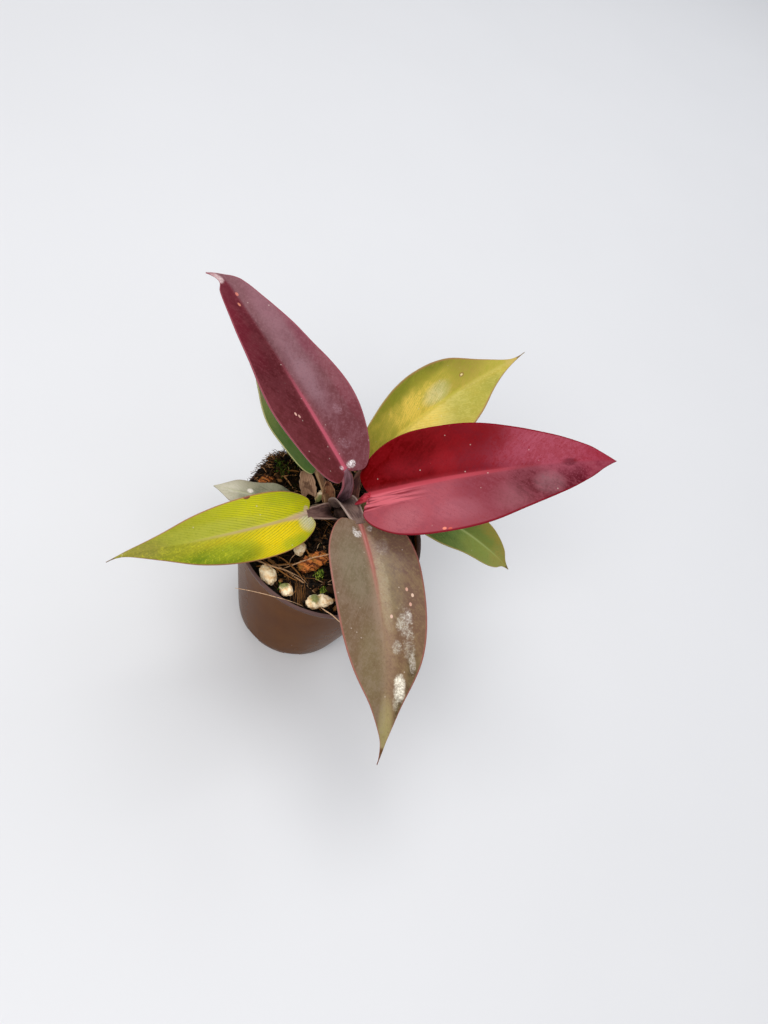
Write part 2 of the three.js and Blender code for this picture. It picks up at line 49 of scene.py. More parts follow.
sky = bpy.data.worlds.new("pale_room")
sky.use_nodes = True
sky.node_tree.nodes["Background"].inputs["Color"].default_value = (0.95, 0.96, 0.99, 1)
sky.node_tree.nodes["Background"].inputs["Strength"].default_value = 0.52
sky.cycles_visibility.glossy = False
scene.world = sky

for name, place, width, power, tint, shines in (
    ("window_light", (-0.26, -0.86, 1.22), 0.9, 12, (1.0, 0.98, 0.95), False),
    ("back_light", (0.35, 1.15, 0.95), 1.0, 4, (0.95, 0.97, 1.0), False),
    ("ceiling_light", (-0.3, 0.36, 1.4), 0.7, 7, (1.0, 0.99, 0.98), True),
):
    lamp = bpy.data.lights.new(name, "AREA")
    lamp.shape = "SQUARE"
    lamp.size = width
    lamp.energy = power
    lamp.color = tint
    holder = bpy.data.objects.new(name, lamp)
    holder.location = place
    aim = Vector((0, 0, 0.1)) - Vector(place)
    holder.rotation_euler = aim.to_track_quat("-Z", "Y").to_euler()
    holder.visible_glossy = shines
    scene.collection.objects.link(holder)

eye_place = (0, -0.20686, 0.42224)
eye = bpy.data.objects.new("camera", bpy.data.cameras.new("camera"))
eye.data.sensor_width = 36
eye.data.lens = 27.04
look = Vector((0.0509, 0.5742, -0.8171)).normalized()
right = Vector((0.8894, 0.3461, 0.2986))
right = (right - look * right.dot(look)).normalized()
over = right.cross(look)
eye.matrix_world = Matrix(
    [[right[i], over[i], -look[i], eye_place[i]] for i in range(3)] + [[0, 0, 0, 1]]
)
scene.collection.objects.link(eye)
scene.camera = eye


class Wire:
    """A socket of a finish. Sums written with wires add the nodes that work them out."""

    def __init__(self, tree, socket=None):
        self.tree = tree
        self.socket = socket

    def node(self, kind, settings=None, sockets=None, output=0):
        made = self.tree.nodes.new("ShaderNode" + kind)
        for name, value in (settings or {}).items():
            if name == "stops":
                ramp = made.color_ramp.elements
                while len(ramp) < len(value):
                    ramp.new(1)
                for stop, (place, color) in zip(ramp, value):
                    stop.position = place
                    stop.color = color
            else:
                setattr(made, name, value)
        for name, value in (sockets or {}).items():
            if isinstance(value, Wire):
                self.tree.links.new(value.socket, made.inputs[name])
            else:
                made.inputs[name].default_value = value
        return Wire(self.tree, made.outputs[output])

    def maths(self, operation, *values):
        return self.node("Math", {"operation": operation}, dict(enumerate(values)))

    def __add__(self, other):
        return self.maths("ADD", self, other)

    def __sub__(self, other):
        return self.maths("SUBTRACT", self, other)

    def __rsub__(self, other):
        return self.maths("SUBTRACT", other, self)

    def __mul__(self, other):
        return self.maths("MULTIPLY", self, other)

    __radd__ = __add__
    __rmul__ = __mul__

    def rise(self, low, high):
        """0 where this is below low, 1 where it is above high, smooth between."""
        ends = {"Value": self, "From Min": low, "From Max": high}
        return self.node("MapRange", {"interpolation_type": "SMOOTHSTEP"}, ends)

    def over(self, below, above):
        """The colour below, covered by the colour above where this mask is 1."""
        return self.node("Mix", {"data_type": "RGBA"}, {0: self, 6: below, 7: above}, 2)


def pigment(code):
    """A colour as seen, written as six hexadecimal digits, in the shader's linear values."""
    shares = [int(code[i : i + 2], 16) / 255 for i in (0, 2, 4)]
    return (*[((s + 0.055) / 1.055) ** 2.4 if s > 0.04 else s / 12.92 for s in shares], 1)


def new_finish(name):
    """A new material, with a loose wire to draw its nodes from and its place on the piece."""
    material = bpy.data.materials.new(name)
    material.use_nodes = True
    wire = Wire(material.node_tree)
    return material, wire, wire.node("TexCoord", output=3)


def clouds(wire, place, scale, detail=3, rough=0.55):
    """Soft noise between 0 and 1, around 0.5. The scale counts its waves in one unit."""
    sockets = {"Vector": place, "Scale": scale, "Detail": detail, "Roughness": rough}
    return wire.node("TexNoise", None, sockets)


def relief(wire, height, depth):
    """A normal bent by a height from 0 to 1 that stands for depth, in metres."""
    return wire.node("Bump", None, {"Strength": 1, "Distance": depth, "Height": height})


def lay_finish(material, **sockets):
    """Sets the sockets of the material's own shader, named with _ for a space."""
    shader = material.node_tree.nodes["Principled BSDF"]
    for name, value in sockets.items():
        socket = shader.inputs[name.replace("_", " ")]
        if isinstance(value, Wire):
            material.node_tree.links.new(value.socket, socket)
        else:
            socket.default_value = value


def set_out(name, mesh, material, sharp=None):
    """An object from a mesh worked out in millimetres, its faces outwards and smooth."""
    bmesh.ops.recalc_face_normals(mesh, faces=mesh.faces)
    bmesh.ops.scale(mesh, vec=(0.001, 0.001, 0.001), verts=mesh.verts)
    for face in mesh.faces:
        face.smooth = True
    data = bpy.data.meshes.new(name)
    mesh.to_mesh(data)
    mesh.free()
    data.materials.append(material)
    if sharp:
        data.set_sharp_from_angle(angle=math.radians(sharp))
    piece = bpy.data.objects.new(name, data)
    scene.collection.objects.link(piece)
    return piece


def plant_piece(piece, slot, *nodes):
    """The piece goes with the root body, and stands for the CAD nodes that are named."""
    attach(piece, "root")
    if nodes:
        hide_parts(*nodes)


floor_paint, wire, place = new_finish("pale_floor")
grain = clouds(wire, place, 6)
lay_finish(floor_paint, Base_Color=grain.over(pigment("dcdde0"), pigment("d8d9dc")), Roughness=0.9)
ground = bmesh.new()
bmesh.ops.create_grid(ground, x_segments=2, y_segments=2, size=5000)
floor = set_out("studio_floor", ground, floor_paint)

# Pot: a nursery pot of thin dark brown plastic, drawn down over a mould in one piece. Its wall
# ends in a narrow lip, and its base is notched all round and pierced, for water to run out.
pot_height, rim_radius, foot_radius = 94, 48, 33
wall, lip, lip_depth, floor_depth = 1.3, 0.8, 2.5, 1.6


def wall_radius(height):
    """The outer radius of the wall, which tapers evenly from the rim to the foot."""
    return foot_radius + (rim_radius - foot_radius) * height / pot_height


def pot_profile():
    """Half of the pot's section, from the middle of its underside to the middle of its floor."""
    lip_foot = pot_height - lip_depth
    inner_lip = rim_radius - wall - lip
    points = [(0, 0), (foot_radius - 1.2, 0), (foot_radius - 0.35, 0.35), (foot_radius, 1.2)]
    points += [(wall_radius(h) - lip * h / lip_foot, h) for h in range(8, 90, 8)]
    points += [(wall_radius(lip_foot) - lip, lip_foot - 1), (wall_radius(lip_foot) - 0.2, lip_foot)]
    points += [(wall_radius(lip_foot) + 0.1, lip_foot + 0.5), (rim_radius, pot_height - 0.6)]
    points += [(rim_radius - 0.15, pot_height - 0.15), (rim_radius - 0.6, pot_height)]
    points += [(rim_radius - wall, pot_height), (rim_radius - wall - 0.25, pot_height - 0.4)]
    points += [(inner_lip, lip_foot - 2), (foot_radius - wall, floor_depth + 2)]
    points += [(foot_radius - wall - 2, floor_depth), (0, floor_depth)]
    return points


shell = bmesh.new()
rail = [shell.verts.new((radius, 0, height)) for radius, height in pot_profile()]
edges = [shell.edges.new(pair) for pair in zip(rail, rail[1:])]
turned = {"cent": (0, 0, 0), "axis": (0, 0, 1), "angle": 2 * math.pi, "steps": 168}
bmesh.ops.spin(shell, geom=rail + edges, use_merge=True, **turned)
bmesh.ops.remove_doubles(shell, verts=shell.verts, dist=0.001)

cutter = bmesh.new()
notches = [(foot_radius + 2.6, 22.5 + 45 * i, 5.5, 5) for i in range(8)]
holes = [(foot_radius / 2, 90 * i, 3, 9.6) for i in range(4)]
for distance, turn, radius, height in notches + holes:
    spot = Matrix.Rotation(math.radians(turn), 4, "Z") @ Matrix.Translation((distance, 0, 0))
    size = {"segments": 40, "radius1": radius, "radius2": radius, "depth": height}
    bmesh.ops.create_cone(cutter, cap_ends=True, matrix=spot, **size)

pot_plastic, wire, place = new_finish("brown_pot_plastic")
swirl = clouds(wire, place, 22, 3)
smears = clouds(wire, wire.node("Mapping", None, {"Vector": place, "Scale": (1, 1, 0.2)}), 160, 4)
# The plastic's brown is given lighter and more amber than its own dark brown: partly a painted warm
# reflection.
tone = swirl.rise(0.3, 0.7).over(pigment("542e0e"), pigment("60380f"))
tone = (swirl.rise(0.54, 0.75) * 0.25).over(tone, pigment("38180c"))
tone = (smears.rise(0.5, 0.72) * 0.08).over(tone, pigment("7c4c24"))
# Sparse pale brown flecks: painted highlights on the plastic.
tone = (clouds(wire, place, 700, 2).rise(0.68, 0.78) * 0.2).over(tone, pigment("8d6c50"))
# A greyish lilac band round the top of the lip: a painted sheen.
level = wire.node("SeparateXYZ", None, {0: place}, 2)
tone = (level.rise(0.091, 0.093) * 0.65).over(tone, pigment("625458"))
lay_finish(
    pot_plastic,
    Base_Color=tone,
    Roughness=0.16 + smears * 0.16,
    Normal=relief(wire, clouds(wire, place, 120, 2) + smears * 0.2, 0.00012),
    IOR=1.3,
    Specular_IOR_Level=0.03,
    Specular_Tint=(0.9, 0.55, 0.3, 1),
)
pot = set_out("nursery_pot", shell, pot_plastic)
knife = set_out("knife", cutter, pot_plastic)
drain = pot.modifiers.new("drain", "BOOLEAN")
drain.operation = "DIFFERENCE"
drain.solver = "EXACT"
drain.object = knife
drained = pot.evaluated_get(bpy.context.evaluated_depsgraph_get())
cut_shell = bpy.data.meshes.new_from_object(drained)
pot.modifiers.clear()
pot.data = cut_shell
cut_shell.set_sharp_from_angle(angle=math.radians(34))
bpy.data.objects.remove(knife)
plant_piece(pot, "pot", "pot")

# Mix: near-black peat and fine bark, heaped at the stem and against the rim at the back left.
# The surface is one skin down to the floor of the pot, with loose crumbs and fibres on it.
random.seed(7)


def ripple(x, y, z):
    """Smooth noise between -1 and 1, the same as shapes the solids."""
    first = math.sin(x * 1.7 + 1.3 * math.sin(y * 1.1 + z))
    second = math.sin(y * 2.3 + 1.7 * math.sin(z * 1.3 + x) + 2)
    third = math.sin(z * 1.9 + 1.1 * math.sin(x * 1.9 + y) + 4)
    return (first + second + third) / 3


def soil_height(x, y):
    """The surface of the mix: a heap at the stem, a bank at the back left, and clods."""
    heap = 4.2 * math.exp(-((x + 1) ** 2 + (y - 7) ** 2) / 500)
    bank = 7 * math.exp(-((x + 38) ** 2 + (y - 16) ** 2) / 300)
    rough = 1.1 * ripple(x * 0.35, y * 0.35, 1) + 0.6 * ripple(x * 0.9, y * 0.9, 5)
    return pot_height - 3.4 + heap + bank + rough


def clump(x, y):
    """How far the mix is piled up over the rim, at the back on the left."""
    off_rim = (math.hypot(x, y) - 42.5) / 4
    round_it = (math.degrees(math.atan2(y, x)) - 157) / 15
    return 3.4 * math.exp(-(off_rim**2) - round_it**2)


skin = bmesh.new()
brim = rim_radius - wall - lip - 0.4
foot = foot_radius - wall - 2.4
section = [(0, 2), (foot, 2), (foot + 2, 4)]
section += [(foot + 2 + (brim - foot - 2) * i / 8, 4 + 82 * i / 8) for i in range(1, 8)]
section += [(brim * (1 - i / 64), pot_height) for i in range(65)]
rail = [skin.verts.new((radius, 0, height)) for radius, height in section]
edges = [skin.edges.new(pair) for pair in zip(rail, rail[1:])]
turned["steps"] = 200
bmesh.ops.spin(skin, geom=rail + edges, use_merge=True, **turned)
bmesh.ops.remove_doubles(skin, verts=skin.verts, dist=0.001)
for vert in skin.verts:
    x, y, z = vert.co
    if z > pot_height - 1:
        clods = noise.noise(Vector((x, y, 3)) * 0.55) + 0.6 * noise.noise(Vector((x, y, 9)) * 1.3)
        vert.co.z = soil_height(x, y) + clump(x, y) + 1.2 * clods - 0.6

peat, wire, place = new_finish("dark_peat")
patches = clouds(wire, place, 160, 4)
grit = clouds(wire, place, 900, 3, 0.7)
tone = patches.rise(0.4, 0.66).over(pigment("070504"), pigment("1c120a"))
tone = (grit.rise(0.56, 0.7) * 0.8).over(tone, pigment("553a1e"))
tone = (clouds(wire, place, 70).rise(0.6, 0.7) * 0.3).over(tone, pigment("2a3312"))
lay_finish(
    peat,
    Base_Color=tone,
    Roughness=0.95,
    Normal=relief(wire, patches + grit * 0.6, 0.0012),
)
plant_piece(set_out("mix_surface", skin, peat), "soil", "soil")


def gather(whole, bit, tone):
    """Adds a loose bit to a mesh of many, in a tone of its own that its finish reads."""
    layer = bit.verts.layers.float.new("tone")
    for vert in bit.verts:
        vert[layer] = tone
    carrier = bpy.data.meshes.new("carrier")
    bit.to_mesh(carrier)
    bit.free()
    whole.from_mesh(carrier)
    bpy.data.meshes.remove(carrier)


def laid_value(wire, name):
    """A value that a mesh's points carry under this name."""
    return wire.node("Attribute", {"attribute_name": name}, output=2)


def shaded(wire, value, *shades):
    """A colour from a ramp of shades. Each is given with the value that it stands at."""
    stops = [(stop, pigment(code)) for stop, code in shades]
    return wire.node("ValToRGB", {"stops": stops}, {0: value})


# Most crumbs lie anywhere on the mix, and the last ones in the clump at the back left.
crumbs = bmesh.new()
for index in range(1500):
    in_clump = index > 1100
    reach = (brim - 2.2) * math.sqrt(random.random())
    turn = random.uniform(0, 2 * math.pi)
    if in_clump:
        reach, turn = random.uniform(38, 47), math.radians(random.gauss(157, 12))
    x, y = reach * math.cos(turn), reach * math.sin(turn)
    size = random.uniform(0.45, 1.0) * random.choice((1, 1, 1.6, 2.2))
    spin = Matrix.Rotation(random.uniform(0, 6), 4, Vector((random.random(), 1, random.random())))
    flat = Matrix.Diagonal((random.uniform(0.8, 1.7), random.uniform(0.6, 1), 0.6, 1))
    height = max(soil_height(x, y) + clump(x, y), pot_height + 1.2 if reach > brim - 1 else 0)
    spot = Matrix.Translation((x, y, height + 0.25 * size)) @ spin @ flat
    crumb = bmesh.new()
    bmesh.ops.create_icosphere(crumb, subdivisions=1, radius=size, matrix=spot)
    gather(crumbs, crumb, random.random() * (0.7 if in_clump else 1))

bark_dust, wire, place = new_finish("loose_crumbs")
own = laid_value(wire, "tone")
tone = shaded(wire, own, (0, "060403"), (0.6, "150e08"), (0.86, "4a2f18"), (1, "9a6a3a"))
tone = (clouds(wire, place, 1500).rise(0.5, 0.7) * 0.5).over(tone, pigment("2a1b0f"))
lay_finish(
    bark_dust,
    Base_Color=tone,
    Roughness=0.9,
    Normal=relief(wire, clouds(wire, place, 1800), 0.0004),
)
plant_piece(set_out("mix_crumbs", crumbs, bark_dust, 30), "soil")


# Fibres: coconut fibre from the mix. The coarse ones are where the solid has them, and finer
# ones lie across them in every direction. Two long ones reach out over the rim.
def held(value):
    """The value, kept between 0 and 1."""
    return min(max(value, 0), 1)


def swept_rod(names, sides, rows, where):
    """A capped rod. The function places a vertex and gives its values in the named layers."""
    mesh = bmesh.new()
    layers = [mesh.verts.layers.float.new(name) for name in names]
    rod = {"cap_ends": True, "segments": sides, "radius1": 1, "radius2": 1, "depth": 1}
    bmesh.ops.create_cone(mesh, **rod)
    upright = [edge for edge in mesh.edges if abs(edge.verts[0].co.z - edge.verts[1].co.z) > 0.5]
    bmesh.ops.subdivide_edges(mesh, edges=upright, cuts=rows - 1)
    for vert in mesh.verts:
        vert.co, values = where(held(vert.co.z + 0.5), vert.co.x, vert.co.y)
        for layer, value in zip(layers, values):
            vert[layer] = value
    return mesh


def strand(whole, start, middle, end, radius, tone, sides=5, rows=8):
    """A fibre along a bent line, thinner towards its ends, in a tone of its own."""

    def where(run, x, y):
        line = start * (1 - run) ** 2 + middle * (2 * run * (1 - run)) + end * run**2
        along = ((middle - start) * (1 - run) + (end - middle) * run).normalized()
        side = along.cross(Vector((0.2, 0.1, 1))).normalized()
        width = radius * (0.55 + 0.45 * math.sin(math.pi * (0.1 + 0.8 * run)))
        wander = 0.5 * radius * math.sin(9 * run + 40 * radius)
        return line + side * (x * width + wander) + side.cross(along) * y * width, ()

    gather(whole, swept_rod((), sides, rows, where), tone)


# Each coarse one goes from the first place to the second and arches up by its last number.
coarse = [
    (-24, -36, -4, -24, 2.2), (-20, -30, 8, -34, 1.8), (-13, -28, -2, -41, 1.6),
    (2, -30, -4, -43, 1.4), (-31, -24, -12, -34, 2), (22, -30, 4, -42, 1.6),
    (-42, 8, -30, 24, 1.6), (-43, 16, -26, 10, 2), (-38, 24, -22, 33, 1.8),
    (-34, 2, -42, -10, 1.4), (20, -12, 34, -20, 1.6), (28, 14, 40, 4, 1.5),
    (6, 36, 24, 34, 1.7), (-14, 36, 2, 42, 1.6), (-10, -14, 2, -22, 1.8),
    (-30, -8, -36, -20, 1.6),
]
tangle = bmesh.new()
for start_x, start_y, end_x, end_y, arch in coarse:
    start = Vector((start_x, start_y, soil_height(start_x, start_y) - 1.2))
    end = Vector((end_x, end_y, soil_height(end_x, end_y) - 1.2))
    middle = start.lerp(end, 0.5)
    middle.z = max(middle.z, soil_height(middle.x, middle.y)) + arch * 1.4
    strand(tangle, start, middle, end, 0.42, random.uniform(0.5, 0.85), 6, 12)
for _ in range(560):
    reach = (brim - 4) * math.sqrt(random.random())
    turn = random.uniform(0, 2 * math.pi)
    start = Vector((reach * math.cos(turn), reach * math.sin(turn), 0))
    lie = random.uniform(0, 2 * math.pi)
    length = random.uniform(4, 17)
    end = start + Vector((math.cos(lie), math.sin(lie), 0)) * length
    if end.length > brim - 1.5:
        end *= (brim - 1.5) / end.length
    middle = start.lerp(end, 0.5)
    middle += Vector((random.uniform(-2.5, 2.5), random.uniform(-2.5, 2.5), 0))
    start.z = soil_height(start.x, start.y) - 0.4
    end.z = soil_height(end.x, end.y) - random.choice((0.4, 0.2, -0.6))
    middle.z = max(soil_height(middle.x, middle.y), start.z, end.z) + random.uniform(0.4, 2.4)
    tone = random.uniform(0.75, 1) if random.random() < 0.12 else 0.7 * random.random() ** 2
    strand(tangle, start, middle, end, random.uniform(0.07, 0.2), tone, 4, 7)
# A brush of short strands stands in front of the lump that is waisted, and a thick shaggy
# clump of them hangs over the rim at the back left.
for _ in range(46):
    start = Vector((random.gauss(-1.5, 1.6), random.gauss(-34.5, 1.2), 91))
    reach = (random.gauss(3.6, 0.9), random.gauss(-8.6, 1.2), random.uniform(-1, 0.6))
    end = start + Vector(reach)
    middle = start.lerp(end, 0.5) + Vector((random.gauss(0, 0.5), 0, random.uniform(1.2, 2.6)))
    strand(tangle, start, middle, end, random.uniform(0.06, 0.14), random.uniform(0.1, 0.75), 4, 7)
for _ in range(700):
    turn = math.radians(random.gauss(157, 11))
    reach = random.uniform(38, 46)
    start = Vector((reach * math.cos(turn), reach * math.sin(turn), 0))
    start.z = soil_height(start.x, start.y) + clump(start.x, start.y) - 0.5
    lie = turn + random.gauss(0, 1)
    end = start + Vector((math.cos(lie), math.sin(lie), 0)) * random.uniform(2, 6)
    if end.xy.length > 50:
        end.xy *= 50 / end.xy.length
    end.z = max(start.z - random.uniform(-2.5, 3), pot_height + 0.8)
    middle = start.lerp(end, 0.5) + Vector((0, 0, random.uniform(1.5, 4)))
    tone = random.uniform(0.5, 0.85) if random.random() < 0.25 else random.uniform(0, 0.45)
    strand(tangle, start, middle, end, random.uniform(0.08, 0.22), tone, 4, 7)
# Long loose ones: straws on the mix, and two that reach out over the rim.
for start, middle, end, radius, tone in (
    ((-25, -33.6, 91), (-16, -34.5, 96), (-6, -31, 91.5), 0.42, 0.85),
    ((-21, -32, 91.5), (-13, -35, 95), (-3, -33.5, 91), 0.34, 0.7),
    ((-19, -27, 91), (-11, -27, 95.5), (-1, -32, 91.5), 0.38, 0.6),
    ((-12, -31, 91), (-5, -24, 97), (4, -15, 92), 0.3, 0.9),
    ((4.8, -44, 91), (-8, -47.5, 96.6), (-27.1, -53.2, 95), 0.16, 1.0),
    ((12.5, -41, 92), (17, -44, 97.5), (24.5, -44.5, 94.2), 0.3, 1.0),
    ((-3, -22, 95.5), (3, -18, 99), (8, -13, 97), 0.26, 0.95),
    ((-44, -4, 91), (-46, 4, 99), (-41, 13, 95), 0.36, 0.8),
    ((-42, 3, 94), (-37, 10, 101), (-28, 18, 96), 0.5, 0.75),
    ((-43, 8, 94), (-36, 14, 102), (-27, 21, 96), 0.42, 0.6),
):
    strand(tangle, Vector(start), Vector(middle), Vector(end), radius, tone, 6, 16)

fibre_skin, wire, place = new_finish("coconut_fibre")
own = laid_value(wire, "tone")
tone = shaded(wire, own, (0, "170f08"), (0.35, "4a2e16"), (0.7, "94622f"), (1, "d8b08a"))
tone = (clouds(wire, place, 900).rise(0.45, 0.7) * 0.5).over(tone, pigment("2e1d10"))
lay_finish(
    fibre_skin,
    Base_Color=tone,
    Roughness=0.8,
    Normal=relief(wire, clouds(wire, place, 2600, 2), 0.0002),
)
plant_piece(set_out("mix_fibres", tangle, fibre_skin), "soil")

# Moss: tufts that have settled on the damp mix, each of many small upright leaves. They are
# bright between the perlite at the front, and dull in the clump at the back left. A row gives
# a tuft's middle and spread, how far it stands up, how fresh it is and how many leaves it has.
tufts = bmesh.new()
for centre_x, centre_y, spread, lift, fresh, count in (
    (5, -25.6, 1.8, 0, 1, 70), (10.2, -32.2, 1.6, 0, 1, 50), (-36.6, 14.8, 3.4, 1, 0.35, 110),
    (9.2, -36.6, 0.9, 0, 1, 22), (-9, -39.6, 1.3, 0, 0.8, 26), (30, 8, 2.4, 0, 0.7, 36),
    (-31, 24, 2.6, 0, 0.4, 30),
):
    for _ in range(count):
        x = random.gauss(centre_x, spread * 0.6)
        y = random.gauss(centre_y, spread * 0.6)
        tilt = [Matrix.Rotation(random.uniform(-0.7, 0.7), 4, axis) for axis in "XY"]
        size = random.uniform(0.4, 0.8)
        spot = Matrix.Translation((x, y, soil_height(x, y) + clump(x, y) + lift + 0.9 * size))
        spot = spot @ tilt[0] @ tilt[1] @ Matrix.Diagonal((0.42, 0.42, 1.5, 1))
        leaflet = bmesh.new()
        bmesh.ops.create_icosphere(leaflet, subdivisions=1, radius=size, matrix=spot)
        gather(tufts, leaflet, fresh * random.random())

moss_skin, wire, place = new_finish("green_moss")
tone = shaded(wire, laid_value(wire, "tone"), (0, "26340a"), (0.5, "54701a"), (1, "a4b040"))
tone = (clouds(wire, place, 1400).rise(0.5, 0.7) * 0.4).over(tone, pigment("1f2c0b"))
lay_finish(
    moss_skin,
    Base_Color=tone,
    Roughness=0.7,
    Normal=relief(wire, clouds(wire, place, 2400), 0.0002),
)
plant_piece(set_out("moss_tufts", tufts, moss_skin), "soil")

# Perlite: puffed volcanic glass in cream lumps, crushed rather than cut, half sunk in the mix.
# Where one has lain damp for long, a green film has grown on it. A row gives a lump's place,
# size, proportions, turn and waist, and the place of its film, where it has one.
perlites = [
    ("perlite_1", (-17, -37.6), 4.7, (1.2, 0.8, 0.8), -35, 0, None),
    ("perlite_2", (-6, -40.8), 3.6, (1.1, 0.85, 0.85), -20, 0, (-2.4, 1.6, 2.2)),
    ("perlite_3", (10.4, -38.2), 4.7, (1.35, 0.9, 0.85), 36, 0.3, (-2.6, -0.6, 3.4)),
    ("perlite_4", (-9.4, -17.6), 3.4, (0.9, 1.15, 0.9), 0, 0, None),
    ("perlite_5", (-13, 13.4), 2.9, (0.75, 1.35, 0.9), 0, 0, (1.5, -2.4, 1)),
    ("perlite_6", (38.5, 12), 3.6, (0.95, 1.1, 0.9), 0, 0, None),
    ("perlite_7", (31, -24), 3.4, (1, 0.9, 0.85), 0, 0, None),
    ("perlite_8", (12, 39), 3.2, (1.1, 0.9, 0.85), 0, 0, None),
    ("perlite_9", (-28, 30), 2.8, (1, 0.95, 0.9), 0, 0, (1, 1, 2)),
]
for index, (name, (x, y), size, squash, turn, waist, stain) in enumerate(perlites):
    lump = bmesh.new()
    bmesh.ops.create_icosphere(lump, subdivisions=5, radius=1)
    centre = Vector((x, y, soil_height(x, y) + size * 0.2))
    for vert in lump.verts:
        ball = vert.co.copy()
        swell = 1 + 0.14 * ripple(ball.x * 2 + index, ball.y * 2, ball.z * 2 + index)
        pits = noise.noise(ball * 2.4 + Vector((index, 0, 5))) * 0.1
        pits += noise.noise(ball * 6 + Vector((0, index, 2))) * 0.05
        facets = -0.12 * abs(noise.noise(ball * 1.7 + Vector((7, index, 0))))
        drawn = 1 - waist * math.exp(-((3 * ball.x) ** 2))
        ball *= (swell + pits + facets - 0.01) * drawn
        vert.co = [ball[i] * squash[i] * size for i in range(3)]
    turning = Matrix.Rotation(math.radians(turn), 3, "Z")
    bmesh.ops.rotate(lump, verts=lump.verts, matrix=turning)
    bmesh.ops.translate(lump, verts=lump.verts, vec=centre)
    chalk, wire, place = new_finish(f"chalky_{name}")
    dust = clouds(wire, place, 500, 4, 0.6)
    tone = dust.rise(0.34, 0.62).over(pigment("e8bc84"), pigment("ffecc8"))
    if stain:
        damp = {0: place, 1: (centre + Vector(stain)) * 0.001}
        reach = wire.node("VectorMath", {"operation": "DISTANCE"}, damp, 1)
        film = (reach * 1000 + clouds(wire, place, 600, 3) * 3).rise(5.2, 3.2)
        tone = (film * 0.85).over(tone, pigment("5c6e24"))
    pores = clouds(wire, place, 1500, 2).rise(0.62, 0.72)
    tone = (pores * 0.3).over(tone, pigment("9a7c50"))
    lay_finish(
        chalk,
        Base_Color=tone,
        Roughness=0.92,
        Normal=relief(wire, dust - pores * 0.5, 0.0005),
    )
    plant_piece(set_out(f"{name}_lump", lump, chalk), "perlite", name)

# Bark: chips of orange-brown pine bark, split along the grain and frayed at their ends. They
# were stirred into the peat and lie in its surface. A row gives a chip's place, size and turn.
barks = [
    ("bark_chip_1", (-0.4, -20.6), (17, 7.5, 5), 58),
    ("bark_chip_2", (-40, 6.5), (9.5, 4.6, 3.4), 62),
    ("bark_chip_3", (26, 27), (9, 5.4, 3.6), -35),
]
for index, (name, (x, y), size, turn) in enumerate(barks):
    chip = bmesh.new()
    bmesh.ops.create_cube(chip, size=2)
    bmesh.ops.subdivide_edges(chip, edges=chip.edges, cuts=23, use_grid_fill=True)
    for vert in chip.verts:
        corner = vert.co.copy()
        corner = corner.lerp(corner.normalized() * 1.12, 0.42)
        px, py, pz = (corner[i] * size[i] / 2 for i in range(3))
        rough = 1 + 0.12 * ripple(px + index * 3, py * 1.4, pz * 1.4)
        taper = 1 - 0.35 * (px / (size[0] / 2)) ** 2
        splinter = noise.noise(Vector((px * 0.3, py * 1.9, pz * 1.9 + index)))
        splinter += 0.7 * noise.noise(Vector((px * 1.1, py * 2.6, pz * 2.6 + index)))
        frayed = 1 + 0.14 * noise.noise(Vector((py * 1.9, pz * 1.9, index)))
        py *= rough * taper * (1 + 0.18 * splinter)
        pz *= rough * taper * (1 + 0.24 * splinter)
        vert.co = (px * frayed, py, pz)
    bmesh.ops.rotate(chip, verts=chip.verts, matrix=Matrix.Rotation(math.radians(4), 3, "Y"))
    bmesh.ops.rotate(chip, verts=chip.verts, matrix=Matrix.Rotation(math.radians(turn), 3, "Z"))
    bmesh.ops.translate(chip, verts=chip.verts, vec=(x, y, soil_height(x, y) + size[2] * 0.22))
    husk, wire, place = new_finish(f"pine_{name}")
    lay = {"Rotation": (0, 0, math.radians(-turn)), "Scale": (0.16, 1, 1)}
    grain = clouds(wire, wire.node("Mapping", None, {"Vector": place, **lay}), 900, 4, 0.6)
    tone = grain.rise(0.4, 0.6).over(pigment("5a2a10"), pigment("cc7838"))
    tone = (clouds(wire, place, 260).rise(0.5, 0.64) * 0.7).over(tone, pigment("846028"))
    tone = (clouds(wire, place, 420).rise(0.57, 0.65) * 0.9).over(tone, pigment("22120a"))
    lay_finish(husk, Base_Color=tone, Roughness=0.88, Normal=relief(wire, grain, 0.0008))
    plant_piece(set_out(f"{name}_split", chip, husk), "bark", name)

# Stem: short and woody, rooted in the mix and hidden by the stalks that stand on it, with the
# scars of fallen leaves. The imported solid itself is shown. The heights of its foot and its
# tip count from the rim of the pot.
stem_foot, stem_tip = Vector((0, 4, -52)), Vector((0.5, 9.5, 3.2))
woody, wire, place = new_finish("woody_stem")
bands = clouds(wire, wire.node("Mapping", None, {"Vector": place, "Scale": (0.4, 0.4, 1)}), 700, 3)
tone = bands.rise(0.35, 0.65).over(pigment("1e1412"), pigment("4a3830"))
lay_finish(woody, Base_Color=tone, Roughness=0.6, Normal=relief(wire, bands, 0.0005))
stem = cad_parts["stem"]
stem.data.materials.clear()
stem.data.materials.append(woody)
